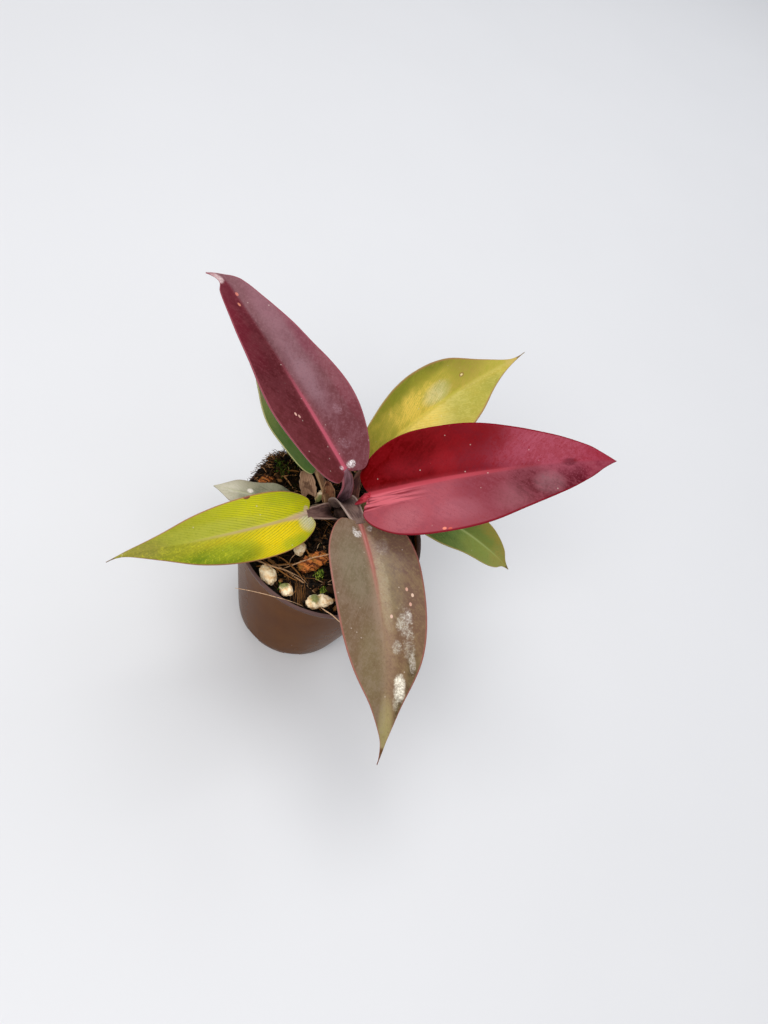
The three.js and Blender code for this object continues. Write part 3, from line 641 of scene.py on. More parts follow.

# Leaves: eight lance-shaped blades, from the newest in crimson to the oldest in green and
# silver. Each is a fleshy skin of two halves folded along a raised midrib, grown on a stalk of
# its own, which wraps the stem with the sheath at its foot.

# A row first gives the form, as in the solids: where blade and stalk meet, how the midrib sets
# out and how much it turns, the fold and curl of the halves, length and width. Near, drip and
# thread are how much of the width is left towards the tip, and hook is how far the end of the
# tip turns aside. Then come the foot of the stalk, how it leaves the stem, and the half widths
# of its sheath and its top.
# Then the row gives the colours: each half at its base and its tip, and mottling, midrib,
# margin, underside and side veins, each with its strength. The paler right half of the crimson
# leaf near its base and the greyer right half of the wine leaf are partly a painted sheen.
# Slant and spacing place the side veins, and quilt and crinkle are the relief that they and
# the base have; crinkle also brings painted highlights and painted shade to the folds at the
# base. Clouds are soft patches in the blade: the run along it, the share across it, the two
# half sizes, colour and strength. Marks lie on it in the same way, and end with how broken up
# they are, 0 for a dot. Some clouds are painted sheen and some marks painted glare or glints,
# as noted at each leaf.
leaves = {
    "crimson": {
        "joint": (9.6, 8.9, 29.1), "heading": (23.6, 9.2),
        "rise": (40, 4.6), "roll": (7.6, 4.5), "fold": 9, "curl": -1.3,
        "length": 120, "width": 54.5, "near": 0.52, "drip": 0.3, "thread": 0.15, "hook": -10,
        "foot": (50, 3, 6.5), "leave": (0.12, 0.33), "sheath": 2.7, "stalk": 2.6,
        # The right half's pale pink near the base is partly a painted sheen.
        "left": ("5a0001", "842838"), "right": ("a04a54", "540c1c"),
        "mottle": ("7c0e16", "8c4450"), "mottling": 0.4, "rib": "b44450", "ribbing": 0.6,
        "rib_end": 0.55, "rim": "7c0c1c", "rimming": 0.85, "back": "7c2030",
        "vein": "5c0408", "veining": 0.05, "slant": 0.7, "spacing": 4.2, "quilt": 0.02,
        "crinkle": 0.55, "gloss": 0.06, "rough": 0.36,
        "stem_color": "a0182c", "stem_tint": "d04858", "stem_rim": "b83848",
        # The pale pink and mauve clouds are painted sheen: the one at 0.72 on the left half, and
        # those from 0.12 to 0.7 on the right half.
        "clouds": [
            (0.72, 0.4, 0.17, 0.45, "a65062", 0.8), (0.93, 0.0, 0.07, 0.5, "a03c50", 0.5),
            (0.17, 0.36, 0.08, 0.16, "982834", 0.35), (0.42, 0.33, 0.12, 0.16, "8e2834", 0.3),
            (0.26, -0.4, 0.12, 0.3, "b0606c", 0.35), (0.54, -0.5, 0.06, 0.2, "a07078", 0.3),
            (0.43, -0.3, 0.08, 0.3, "701828", 0.5), (0.625, -0.26, 0.06, 0.24, "4c0814", 0.7),
            (0.7, -0.34, 0.045, 0.16, "b48890", 0.3), (0.8, 0.01, 0.024, 0.05, "4c0c1a", 0.75),
            (0.34, 0.7, 0.2, 0.25, "7c0206", 0.4), (0.12, -0.62, 0.06, 0.2, "b8767e", 0.35),
            (0.34, -0.62, 0.07, 0.16, "ac6c78", 0.3), (0.2, 0.66, 0.07, 0.24, "460002", 0.5),
            (0.31, 0.28, 0.04, 0.2, "9c2028", 0.4), (0.5, 0.62, 0.06, 0.24, "640810", 0.5),
        ],
        "marks": [
            (0.276, -0.94, 0.006, 0.02, "e88a74", 0.9, 0),
            (0.297, -0.96, 0.006, 0.02, "c85c50", 0.8, 0),
        ],
    },
    "wine": {
        "joint": (-7.3, 12.4, 33.1), "heading": (153.4, -2.3),
        "rise": (20.9, 7), "roll": (4.8, -3.1), "fold": 18, "curl": -0.2,
        "length": 116.5, "width": 47.7, "near": 0.51, "drip": 0.32, "thread": 0.11, "hook": 64,
        "foot": (100, 2.4, 6), "facing": 112, "leave": (0.12, 0.33), "sheath": 3.8, "stalk": 3.5,
        # The right half's greyish mauve is partly a painted sheen.
        "left": ("5c2326", "66222e"), "right": ("68343a", "704048"),
        "mottle": ("7c3a42", "865860"), "mottling": 0.32, "rib": "b85466", "ribbing": 0.65,
        "rib_end": 0.42, "rim": "a85864", "rimming": 0.5, "back": "a08488",
        "vein": "4c1c22", "veining": 0.05, "slant": 0.75, "spacing": 3.8, "quilt": 0.015,
        "crinkle": 0, "gloss": 0.22, "rough": 0.36,
        "stem_color": "704e56", "stem_tint": "906e78", "stem_rim": "b4626e",
        # The pale mauve clouds at 0.5 and 0.4 on the right half are painted sheen.
        "clouds": [
            (0.5, -0.34, 0.22, 0.2, "906c78", 0.35), (0.4, -0.3, 0.1, 0.12, "a0828c", 0.25),
            (0.68, 0.55, 0.14, 0.24, "8e1c38", 0.55), (0.38, -0.86, 0.18, 0.12, "8c3c4c", 0.4),
            (0.54, 0.34, 0.2, 0.36, "400c10", 0.6), (0.8, -0.45, 0.12, 0.2, "8c5464", 0.4),
            (0.62, -0.68, 0.15, 0.11, "7c2c44", 0.5),
        ],
        # The white marks at the base are a painted glint, and the pale mauve marks at 0.227 and 0.7
        # are painted sheen.
        "marks": [
            (0.843, -0.02, 0.007, 0.026, "d07a68", 0.8, 0),
            (0.795, 0.09, 0.007, 0.026, "d88a70", 0.8, 0),
            (0.004, -0.17, 0.013, 0.08, "f4f0f0", 0.9, 3),
            (0.012, 0.07, 0.009, 0.05, "f0e0e4", 0.7, 3),
            (0.95, 0.1, 0.03, 0.12, "e8d0d0", 0.85, 1), (0.99, 0.0, 0.02, 0.3, "b08488", 0.6, 0),
            (0.284, 0.46, 0.006, 0.02, "e0b0a0", 0.9, 0),
            (0.27, 0.4, 0.006, 0.02, "e0b0a0", 0.7, 0),
            (0.227, -0.51, 0.02, 0.07, "b08c98", 0.3, 2),
            (0.09, -0.3, 0.025, 0.08, "b494a0", 0.25, 2),
            (0.7, -0.75, 0.05, 0.04, "c090a0", 0.4, 2),
        ],
    },
    "bronze": {
        "joint": (11.5, -3.9, 21.1), "heading": (-51.2, -12.9),
        "rise": (3.1, -38.8), "roll": (-0.2, -5.2), "fold": 12.7, "curl": -0.8,
        "length": 113.5, "width": 46.4, "near": 0.34, "drip": 0.1, "thread": 0.03, "hook": -18,
        "foot": (135, 3, 3.6), "leave": (0.1, 0.42), "sheath": 7, "stalk": 4.4,
        "left": ("705446", "745a42"), "right": ("725c48", "745c42"),
        "mottle": ("8e7856", "8c7866"), "mottling": 0.4, "rib": "a85c56", "ribbing": 0.62,
        "rib_end": 0.3, "rim": "a8645c", "rimming": 0.65, "back": "8c7468",
        "vein": "4c4236", "veining": 0.08, "slant": 1.1, "spacing": 3.2, "quilt": 0.015,
        "crinkle": 0, "gloss": 0.25, "rough": 0.3,
        "stem_color": "5e4c48", "stem_tint": "7a645c", "stem_rim": "b09c92",
        # The warm pale cloud along the midrib at 0.4 is a painted highlight.
        "clouds": [
            (0.85, 0.0, 0.1, 0.12, "a8a068", 0.7), (0.29, 0.26, 0.1, 0.24, "8c8464", 0.5),
            (0.4, 0.03, 0.28, 0.16, "a88c76", 0.5), (0.24, 0.55, 0.14, 0.2, "6c5248", 0.5),
            (0.2, -0.4, 0.12, 0.3, "7c7c60", 0.4), (0.6, -0.3, 0.14, 0.24, "8c8460", 0.35),
            (0.68, 0.56, 0.1, 0.12, "443a24", 0.8), (0.8, 0.28, 0.08, 0.08, "40381f", 0.8),
        ],
        # The laced white and pale grey marks from 0.415 to 0.75 on the left half are painted glare,
        # the largest at 0.693, and the two white ones at the base are a painted glint. The small
        # pink dots are specks.
        "marks": [
            (0.45, 0.47, 0.06, 0.14, "d4d0c4", 0.55, 3),
            (0.415, 0.55, 0.03, 0.07, "e4e0d8", 0.6, 2),
            (0.53, 0.26, 0.025, 0.08, "d4d0c4", 0.5, 3),
            (0.6, 0.55, 0.035, 0.05, "d8d0c4", 0.5, 3), (0.54, 0.5, 0.04, 0.1, "ccc8bc", 0.3, 3),
            (0.693, 0.28, 0.046, 0.1, "f8f2e0", 1, 1.4),
            (0.75, 0.2, 0.025, 0.05, "e0dac4", 0.45, 2),
            (0.034, -0.157, 0.024, 0.08, "e8e4e0", 0.8, 3),
            (0.029, 0.157, 0.012, 0.05, "e8e4e0", 0.6, 3),
            (0.309, 0.61, 0.006, 0.022, "d8a894", 0.8, 0),
            (0.335, 0.71, 0.006, 0.022, "e8c8b0", 0.8, 0),
            (0.37, 0.635, 0.006, 0.022, "d8a894", 0.8, 0),
            (0.41, 0.21, 0.006, 0.022, "e8c0b0", 0.8, 0),
            (0.12, 0.3, 0.03, 0.12, "a89c94", 0.4, 2), (0.3, 0.14, 0.14, 0.1, "b8b094", 0.25, 2),
            (0.985, 0.0, 0.045, 0.2, "5c3a20", 0.9, 0),
        ],
    },
    "gold": {
        "joint": (0.7, 30.3, 17), "heading": (73.9, -21.7),
        "rise": (12.8, 14.1), "roll": (38, -40), "fold": 22, "curl": 5.5,
        "length": 118.5, "width": 49.3, "near": 0.38, "drip": 0.12, "thread": 0.03, "hook": 14,
        "foot": (80, 1, 5.8), "leave": (0.12, 0.33), "sheath": 4.5, "stalk": 1.9,
        "left": ("e0c850", "b6a848"), "right": ("baaa3c", "b4a444"),
        "mottle": ("a6a436", "c8bc60"), "mottling": 0.5, "rib": "b8ae58", "ribbing": 0.15,
        "rib_end": 0.5, "rim": "a07050", "rimming": 0.7, "back": "8c9440",
        "vein": "74741c", "veining": 0.3, "slant": 1.6, "spacing": 3.0, "quilt": 0.03,
        "crinkle": 0, "gloss": 0.25, "rough": 0.36,
        "stem_color": "4b2b2a", "stem_tint": "6e4438", "stem_rim": "80584a",
        # The pale cream cloud at 0.49 is a painted sheen.
        "clouds": [
            (0.33, 0.45, 0.12, 0.24, "fcdc64", 1), (0.37, -0.2, 0.1, 0.26, "f0cc58", 0.6),
            (0.49, 0.25, 0.06, 0.15, "f0ecc4", 0.5), (0.56, 0.9, 0.26, 0.2, "667018", 0.9),
            (0.22, 0.94, 0.14, 0.2, "7c8420", 0.8), (0.62, -0.4, 0.14, 0.3, "9c9c40", 0.6),
            (0.1, 0.2, 0.1, 0.5, "98983c", 0.6), (0.95, 0.0, 0.05, 0.3, "c09c60", 0.6),
            (0.42, 0.7, 0.06, 0.14, "a8a034", 0.5), (0.72, 0.6, 0.1, 0.3, "8c7c34", 0.75),
            (0.3, 0.8, 0.05, 0.16, "848c24", 0.6), (0.66, 0.2, 0.08, 0.16, "a89044", 0.5),
            (0.77, -0.35, 0.06, 0.2, "94943c", 0.6), (0.27, 0.62, 0.03, 0.2, "8c9428", 0.5),
        ],
        "marks": [
            (0.646, 0.283, 0.011, 0.036, "9a7a40", 0.9, 0),
            (0.646, 0.283, 0.005, 0.016, "ecdc9c", 1, 0),
            (0.99, 0.0, 0.035, 0.2, "6c5434", 0.85, 0),
        ],
    },
    "lime": {
        "joint": (-13.8, -8.9, 15.9), "heading": (237.6, -20),
        "rise": (18.2, -6.1), "roll": (-26.8, -0.7), "fold": 6.3, "curl": -0.5,
        "length": 96.5, "width": 29.7, "near": 0.39, "drip": 0.14, "thread": 0.04, "hook": 24,
        "foot": (225, 1, 5), "leave": (0.12, 0.33), "sheath": 5.5, "stalk": 3.1,
        "left": ("d8c208", "7e8424"), "right": ("c4c408", "8e902a"),
        "mottle": ("bcb828", "aca834"), "mottling": 0.25, "rib": "b4987c", "ribbing": 0.5,
        "rib_end": 0.55, "rim": "9c604c", "rimming": 0.85, "back": "98a048",
        "vein": "4c6406", "veining": 0.65, "slant": 2.3, "spacing": 3.4, "quilt": 0.05,
        "crinkle": 0, "gloss": 0.2, "rough": 0.34,
        "stem_color": "5c403c", "stem_tint": "7e6058", "stem_rim": "b89c8c",
        # The pale grey cloud at the base, at 0.012 on the left half, is a painted sheen on the
        # lobe.
        "clouds": [
            (0.2, 0.5, 0.11, 0.32, "f4d40c", 0.75), (0.24, -0.45, 0.12, 0.3, "d8d020", 0.5),
            (0.52, 0.68, 0.16, 0.3, "4e7004", 0.95), (0.52, -0.2, 0.2, 0.2, "acb04c", 0.5),
            (0.08, 0.8, 0.1, 0.2, "8ca418", 0.7), (0.12, -0.7, 0.1, 0.2, "a0b020", 0.5),
            (0.9, 0.0, 0.12, 0.3, "8c7c44", 0.6), (0.45, 0.5, 0.1, 0.2, "b8bc28", 0.4),
            (0.04, 0.0, 0.07, 0.09, "e0b8a8", 0.7), (0.012, 0.24, 0.04, 0.24, "d0d4d4", 0.6),
        ],
        "marks": [
            (0.331, -0.97, 0.014, 0.05, "6e4030", 0.95, 0),
            (0.0, -0.14, 0.014, 0.12, "dcb8b0", 0.6, 1),
            (0.99, 0.0, 0.022, 0.2, "5c4838", 0.85, 0),
        ],
    },
    "green": {
        "joint": (16.4, 27.7, 11), "heading": (-0.2, 1.4),
        "rise": (12.8, -30), "roll": (1.3, 9.7), "fold": 12.9, "curl": 1.4,
        "length": 79.5, "width": 34.8, "near": 0.61, "drip": 0.37, "thread": 0.12, "hook": -8,
        "foot": (42, -1, 7.6), "leave": (0.12, 0.33), "sheath": 4, "stalk": 1.7,
        "left": ("466a29", "7e863a"), "right": ("486829", "90984a"),
        "mottle": ("708840", "889c4c"), "mottling": 0.4, "rib": "a4b46c", "ribbing": 0.6,
        "rib_end": 0.85, "rim": "b89a60", "rimming": 0.6, "back": "7c9058",
        "vein": "3c5a1e", "veining": 0.16, "slant": 1.4, "spacing": 3.0, "quilt": 0.03,
        "crinkle": 0, "gloss": 0.25, "rough": 0.36,
        "stem_color": "7f8a4c", "stem_tint": "8c7a4c", "stem_rim": "a89a68",
        "clouds": [
            (0.92, 0.2, 0.08, 0.4, "a08844", 0.7), (0.66, -0.3, 0.1, 0.24, "8a9c40", 0.5),
            (0.76, 0.72, 0.14, 0.3, "a88c3c", 0.75), (0.42, 0.15, 0.12, 0.6, "387428", 0.6),
            (0.42, -0.65, 0.14, 0.26, "3c6428", 0.6), (0.86, -0.1, 0.05, 0.3, "9c9448", 0.6),
        ],
        "marks": [
            (0.99, 0.0, 0.02, 0.2, "6c5838", 0.85, 0),
        ],
    },
    "moss": {
        "joint": (-21.1, 20.9, 12), "heading": (148.2, -22.1),
        "rise": (11.3, -7.5), "roll": (18.9, -5.1), "fold": 11.6, "curl": 0.4,
        "length": 79.6, "width": 36.7, "near": 0.48, "drip": 0.22, "thread": 0.08, "hook": 0,
        "foot": (162, 0, 7), "leave": (0.12, 0.33), "sheath": 3.8, "stalk": 1.9,
        "left": ("587c30", "8c8c4c"), "right": ("628838", "8c944c"),
        "mottle": ("748c44", "80984c"), "mottling": 0.4, "rib": "98a868", "ribbing": 0.6,
        "rib_end": 0.85, "rim": "ccc48c", "rimming": 0.85, "back": "7c8c54",
        "vein": "38541e", "veining": 0.16, "slant": 1.4, "spacing": 3.0, "quilt": 0.03,
        "crinkle": 0, "gloss": 0.25, "rough": 0.36,
        "stem_color": "7c5a40", "stem_tint": "947254", "stem_rim": "ac8c68",
        "clouds": [
            (0.58, 0.72, 0.09, 0.4, "94785c", 0.85), (0.4, 0.8, 0.1, 0.12, "8c9c50", 0.5),
        ],
        "marks": [],
    },
    "silver": {
        "joint": (-20.5, -3.3, 6.9), "heading": (194.4, -3.3),
        "rise": (6.5, -9.4), "roll": (2.7, -1.3), "fold": 5.4, "curl": -1.2,
        "length": 40.8, "width": 20.8, "near": 0.6, "drip": 0.3, "thread": 0.14, "hook": 0,
        "foot": (192, -1, 8), "leave": (0.12, 0.33), "sheath": 3, "stalk": 1.3,
        "left": ("6c7458", "a8a08c"), "right": ("707860", "aca490"),
        "mottle": ("a8a48c", "a8a48c"), "mottling": 0.6, "rib": "b0b090", "ribbing": 0.5,
        "rib_end": 0.9, "rim": "988470", "rimming": 0.5, "back": "7c8468",
        "vein": "68704c", "veining": 0.1, "slant": 1.4, "spacing": 2.4, "quilt": 0.02,
        "crinkle": 0, "gloss": 0.3, "rough": 0.28,
        "stem_color": "7c7a5a", "stem_tint": "8c6c58", "stem_rim": "9c8c74",
        "clouds": [
            (0.84, 0.0, 0.12, 0.4, "ccc8b4", 0.7), (0.42, -0.3, 0.1, 0.3, "5c6048", 0.5),
            (0.56, 0.1, 0.1, 0.3, "647458", 0.6),
        ],
        "marks": [
            (0.568, -0.19, 0.03, 0.1, "f8f0e8", 1, 1),
        ],
    },
}
blade_depth, keel_depth, keel_width = 0.9, 1.1, 1.6
midrib_steps, hook_start = 48, 0.88


def mixed(first, second, share):
    """The value that lies this share of the way from the first to the second."""
    return first + (second - first) * share


def eased(low, high, value):
    """0 at low, 1 at high and smooth between them. Low may be the greater one."""
    share = held((value - low) / (high - low))
    return share * share * (3 - 2 * share)


def midrib_frames(leaf):
    """The midrib as a row of frames: a place, the way it runs, its left and its upper side."""
    spot = Vector(leaf["joint"]) + Vector((0, 0, pot_height))
    frames = []
    for index in range(midrib_steps + 1):
        run = index / midrib_steps
        hook = leaf["hook"] * max(run - hook_start, 0) / (1 - hook_start)
        heading = math.radians(leaf["heading"][0] + leaf["heading"][1] * run + hook)
        rise = math.radians(mixed(*leaf["rise"], run))
        roll = math.radians(leaf["roll"][0] + leaf["roll"][1] * run)
        flat = Vector((math.cos(heading), math.sin(heading), 0))
        along = flat * math.cos(rise) + Vector((0, 0, math.sin(rise)))
        level = Vector((-math.sin(heading), math.cos(heading), 0))
        side = Matrix.Rotation(roll, 3, along) @ level
        if frames:
            step = leaf["length"] / midrib_steps
            spot = spot + (frames[-1][1] + along).normalized() * step
        frames.append((spot, along, side, along.cross(side)))
    return frames


def blade_point(leaf, distance, across):
    """A point of the blade's middle surface, so far along the midrib and so far to its left."""
    position = held(distance / leaf["length"]) * midrib_steps
    index = min(int(position), midrib_steps - 1)
    before, after = leaf["frames"][index], leaf["frames"][index + 1]
    spot, along, side, up = (a.lerp(b, position - index) for a, b in zip(before, after))
    share = across / (leaf["width"] / 2)
    fold = math.radians(leaf["fold"])
    turn = 7 * distance / leaf["length"] + (0 if across > 0 else 2)
    wave = 0.9 * share**2 * math.sin(2 * turn)
    lift = (math.sqrt(across**2 + 2.25) - 1.5) * math.sin(fold) + leaf["curl"] * share**2 + wave
    return spot + along * min(distance, 0) + side * (across * math.cos(fold)) + up * lift


def blade_margin(leaf):
    """Half of the outline, as points the same way apart, from a spline through its corners."""
    corners = [(0, 0), (-0.025, 0.16), (-0.035, 0.42), (0.015, 0.68), (0.11, 0.9), (0.25, 1)]
    corners += [(0.42, 0.95), (0.6, 0.74), (0.76, leaf["near"]), (0.88, leaf["drip"])]
    corners += [(0.94, leaf["thread"]), (1, 0)]
    corners = [Vector((run * leaf["length"], out * leaf["width"] / 2)) for run, out in corners]
    line = []
    for index in range(len(corners) - 1):
        a, b, c, d = (corners[min(max(index + k, 0), len(corners) - 1)] for k in (-1, 0, 1, 2))
        for step in range(24):
            t = step / 24
            leave, arrive = (c - a) / 2, (d - b) / 2
            point = b + leave * t + (3 * c - 3 * b - 2 * leave - arrive) * t**2
            line.append(point + (2 * b - 2 * c + leave + arrive) * t**3)
    line.append(corners[-1])
    lengths = [0]
    for a, b in zip(line, line[1:]):
        lengths.append(lengths[-1] + (b - a).length)
    return line, lengths


def margin_point(margin, share):
    """The point of the margin at this share of its own length."""
    line, lengths = margin
    target = share * lengths[-1]
    low, high = 0, len(lengths) - 1
    while high - low > 1:
        middle = (low + high) // 2
        low, high = (middle, high) if lengths[middle] < target else (low, middle)
    part = (target - lengths[low]) / (lengths[high] - lengths[low])
    return line[low].lerp(line[high], part)


def vein_place(leaf, distance, across, edge):
    """How many side veins leave the midrib before the one that passes this point."""
    return (distance - leaf["slant"] * abs(across) * (1 + 0.35 * edge)) / leaf["spacing"]


def blade_relief(leaf, run, distance, across, edge):
    """How far the upper face stands above the plain blade: midrib, quilting, folds and ruffle."""
    rib = 0.34 * math.exp(-((across / 0.75) ** 2)) - 0.26 * math.exp(-((across / 2.1) ** 2))
    quilt = leaf["quilt"] * math.cos(2 * math.pi * vein_place(leaf, distance, across, edge))
    quilt *= eased(0.03, 0.2, edge) * eased(1.0, 0.75, edge) * eased(1.02, 0.85, run)
    ruffle = 0.22 * edge**3 * noise.noise(Vector((run * 13, 3 if across > 0 else 8, leaf["fold"])))
    dents = 0.16 * noise.noise(Vector((distance * 0.11, across * 0.16, leaf["curl"])))
    band = eased(-1, -2.4, across) * eased(-9, -5.5, across)
    band *= eased(0.0, 0.04, run) * eased(0.3, 0.12, run)
    crease = leaf["crinkle"] * band * math.sin(1.7 * across + 1.2 * math.sin(distance * 0.2))
    return rib * (1 - 0.75 * run) + quilt + ruffle + dents + crease


def twin_sheets(columns, rows, names):
    """Two flat sheets of one unit with named layers, their points in pairs, and their rims."""
    mesh = bmesh.new()
    layers = [mesh.verts.layers.float.new(name) for name in names]
    upper = bmesh.ops.create_grid(mesh, x_segments=columns, y_segments=rows, size=0.5)["verts"]
    sheet = list(upper) + list(mesh.edges) + list(mesh.faces)
    copies = bmesh.ops.duplicate(mesh, geom=sheet)["vert_map"]
    rims = [edge for edge in mesh.edges if edge.is_boundary]
    return mesh, layers, [(vert, copies[vert]) for vert in upper], rims


def blade_mesh(leaf):
    """The upper and the under face of a blade, joined round the margin."""
    margin = blade_margin(leaf)
    names = ("run", "out", "edge", "vein", "rib", "under")
    mesh, layers, pairs, rims = twin_sheets(60, 150, names)
    for upper, lower in pairs:
        row, column = held(upper.co.y + 0.5), 2 * upper.co.x
        share = math.copysign(abs(column) ** 1.25, column)
        point = margin_point(margin, mixed(0.008, 0.9985, 1 - (1 - row**1.3) ** 1.25))
        half = max(point.y, mixed(0.7, 0.16, row))
        distance = mixed(leaf["length"] * row**1.75, point.x, abs(share))
        across = share * half
        middle = blade_point(leaf, distance, across)
        ahead = blade_point(leaf, distance + 0.5, across)
        ahead -= blade_point(leaf, distance - 0.5, across)
        left = blade_point(leaf, distance, across + 0.5)
        left -= blade_point(leaf, distance, across - 0.5)
        normal = ahead.cross(left).normalized()
        depth = blade_depth / 2 * (1 - 0.5 * abs(share) ** 6) * mixed(1, 0.6, row)
        rise = blade_relief(leaf, row, distance, across, abs(share))
        keel = keel_depth * (1 - 0.8 * row) * math.exp(-((across / keel_width) ** 2))
        upper.co = middle + normal * (depth + rise)
        lower.co = middle - normal * (depth + keel - rise * 0.6)
        run = distance / leaf["length"]
        out = across / (leaf["width"] / 2)
        vein = vein_place(leaf, distance, across, abs(share))
        rib = abs(across) / mixed(leaf["width"] / 40, 0.3, held(run))
        for vert, under in ((upper, 0), (lower, 1)):
            for layer, value in zip(layers, (run, out, abs(share), vein, rib, under)):
                vert[layer] = value
    bmesh.ops.bridge_loops(mesh, edges=rims)
    return mesh


def leaf_finish(name, leaf):
    """A waxy leaf skin: two halves, mottling, side veins, midrib, margin, marks and underside."""
    skin, wire, place = new_finish(f"{name}_leaf_skin")
    run, out, edge, vein, rib, under = (
        laid_value(wire, key) for key in ("run", "out", "edge", "vein", "rib", "under")
    )
    broad = clouds(wire, place, 70, 4, 0.6)
    patchy = clouds(wire, place, 240, 4, 0.6)
    fine = clouds(wire, place, 900, 4, 0.75)
    lay = wire.node("CombineXYZ", None, {0: vein, 1: edge * 1.8, 2: out})
    streaks = clouds(wire, lay, 2.6, 4, 0.65)
    far = run.rise(0.12, 0.85)
    left, right = (
        far.over(pigment(leaf[half][0]), pigment(leaf[half][1])) for half in ("left", "right")
    )
    halves = out.rise(-0.03, 0.03)
    tone = halves.over(right, left)
    mottle = halves.over(pigment(leaf["mottle"][1]), pigment(leaf["mottle"][0]))
    ragged = (broad + patchy + fine - 1.5) * 1.6

    def patch(middle_run, middle_out, half_run, half_out):
        """1 at the middle of a patch of the blade, and 0 outside the patch."""
        off = (run - middle_run) * (1 / half_run)
        away = (out - middle_out) * (1 / half_out)
        return (off * off + away * away).rise(3.0, 0.0)

    # Soft patches of colour in the blade; some of them are painted sheen.
    for *area, color, strength in leaf["clouds"]:
        tone = (patch(*area) * (ragged * 0.8 + 1) * strength).over(tone, pigment(color))
    blotches = broad + patchy + (streaks - 0.5) * 0.9
    tone = (blotches.rise(0.88, 1.16) * leaf["mottling"]).over(tone, mottle)
    lines = wire.maths("PINGPONG", vein + broad * 0.7, 0.5) * 2
    lines = lines.rise(0.26, 0.0) * edge.rise(0.02, 0.12) * edge.rise(1.0, 0.93)
    lines = lines * (run.rise(0.7, 0.25) * 0.65 + 0.35)
    tone = (lines * leaf["veining"]).over(tone, pigment(leaf["vein"]))
    minor = wire.maths("PINGPONG", vein * 2 + broad, 0.5) * 2
    minor = minor.rise(0.45, 0.0) * edge.rise(0.05, 0.2) * broad.rise(0.35, 0.5)
    tone = (minor * (leaf["veining"] * 0.3)).over(tone, pigment(leaf["vein"]))
    tone = (fine.rise(0.5, 0.68) * 0.6).over(tone, mottle)
    tone = (fine.rise(0.46, 0.3) * 0.25).over(tone, pigment(leaf["vein"]))
    midrib = rib.rise(1.5, 0.55) + rib.rise(3.4, 0.8) * 0.3
    midrib = midrib * run.rise(leaf["rib_end"] + 0.16, leaf["rib_end"] - 0.22)
    tone = (midrib * leaf["ribbing"]).over(tone, pigment(leaf["rib"]))
    lace = clouds(wire, place, 1100, 4, 0.75).rise(0.42, 0.58) * 0.75 + 0.25
    # Marks: specks, nicks and dry tips, and some painted glare and glints.
    for *area, color, strength, broken in leaf["marks"]:
        spot = patch(*area).rise(0.2, 0.7)
        if broken:
            laced = min(broken / 2, 1)
            spot = (patch(*area) + ragged * (0.4 * broken)).rise(0.2, 1.1)
            spot = spot * patch(*area).rise(0.05, 0.4) * (lace * laced + (1 - laced))
        tone = (spot * strength).over(tone, pigment(color))
    # Where the blade is crinkled at its base, its folds get painted highlights in pale pink on the
    # ridges and painted shade in dark red in the gaps.
    if leaf["crinkle"]:
        folds = wire.node("CombineXYZ", None, {0: run * 3.4, 1: out * 12, 2: edge})
        folds = clouds(wire, folds, 1.3, 3)
        near = run.rise(0.26, 0.1) * out.rise(-0.36, -0.26) * out.rise(0.0, -0.05)
        tone = (near * folds.rise(0.48, 0.6) * 0.7).over(tone, pigment("d86c78"))
        tone = (near * folds.rise(0.5, 0.4) * 0.85).over(tone, pigment("74101e"))
    tone = (edge.rise(0.955, 0.983) * leaf["rimming"]).over(tone, pigment(leaf["rim"]))
    cells = {"Vector": place, "Scale": 320}
    chosen = wire.node("SeparateColor", None, {0: wire.node("TexVoronoi", None, cells, 1)})
    dots = wire.node("TexVoronoi", None, cells).rise(0.13, 0.08) * chosen.rise(0.84, 0.86)
    tone = (dots * 0.4).over(tone, pigment("dcccc0"))
    back = (broad.rise(0.4, 0.7) * 0.5).over(pigment(leaf["back"]), mottle)
    back = (lines * (0.2 + leaf["veining"] * 0.3)).over(back, pigment(leaf["vein"]))
    back = (rib.rise(1.8, 0.8) * 0.8).over(back, pigment(leaf["rib"]))
    tone = under.rise(0.45, 0.55).over(tone, back)
    lay_finish(
        skin,
        Base_Color=tone,
        Roughness=fine * 0.14 + (leaf["rough"] - 0.06) + under * 0.12,
        Normal=relief(wire, fine * 0.6 - lines * leaf["veining"] + broad, 0.00014),
        Specular_IOR_Level=leaf["gloss"],
    )
    return skin


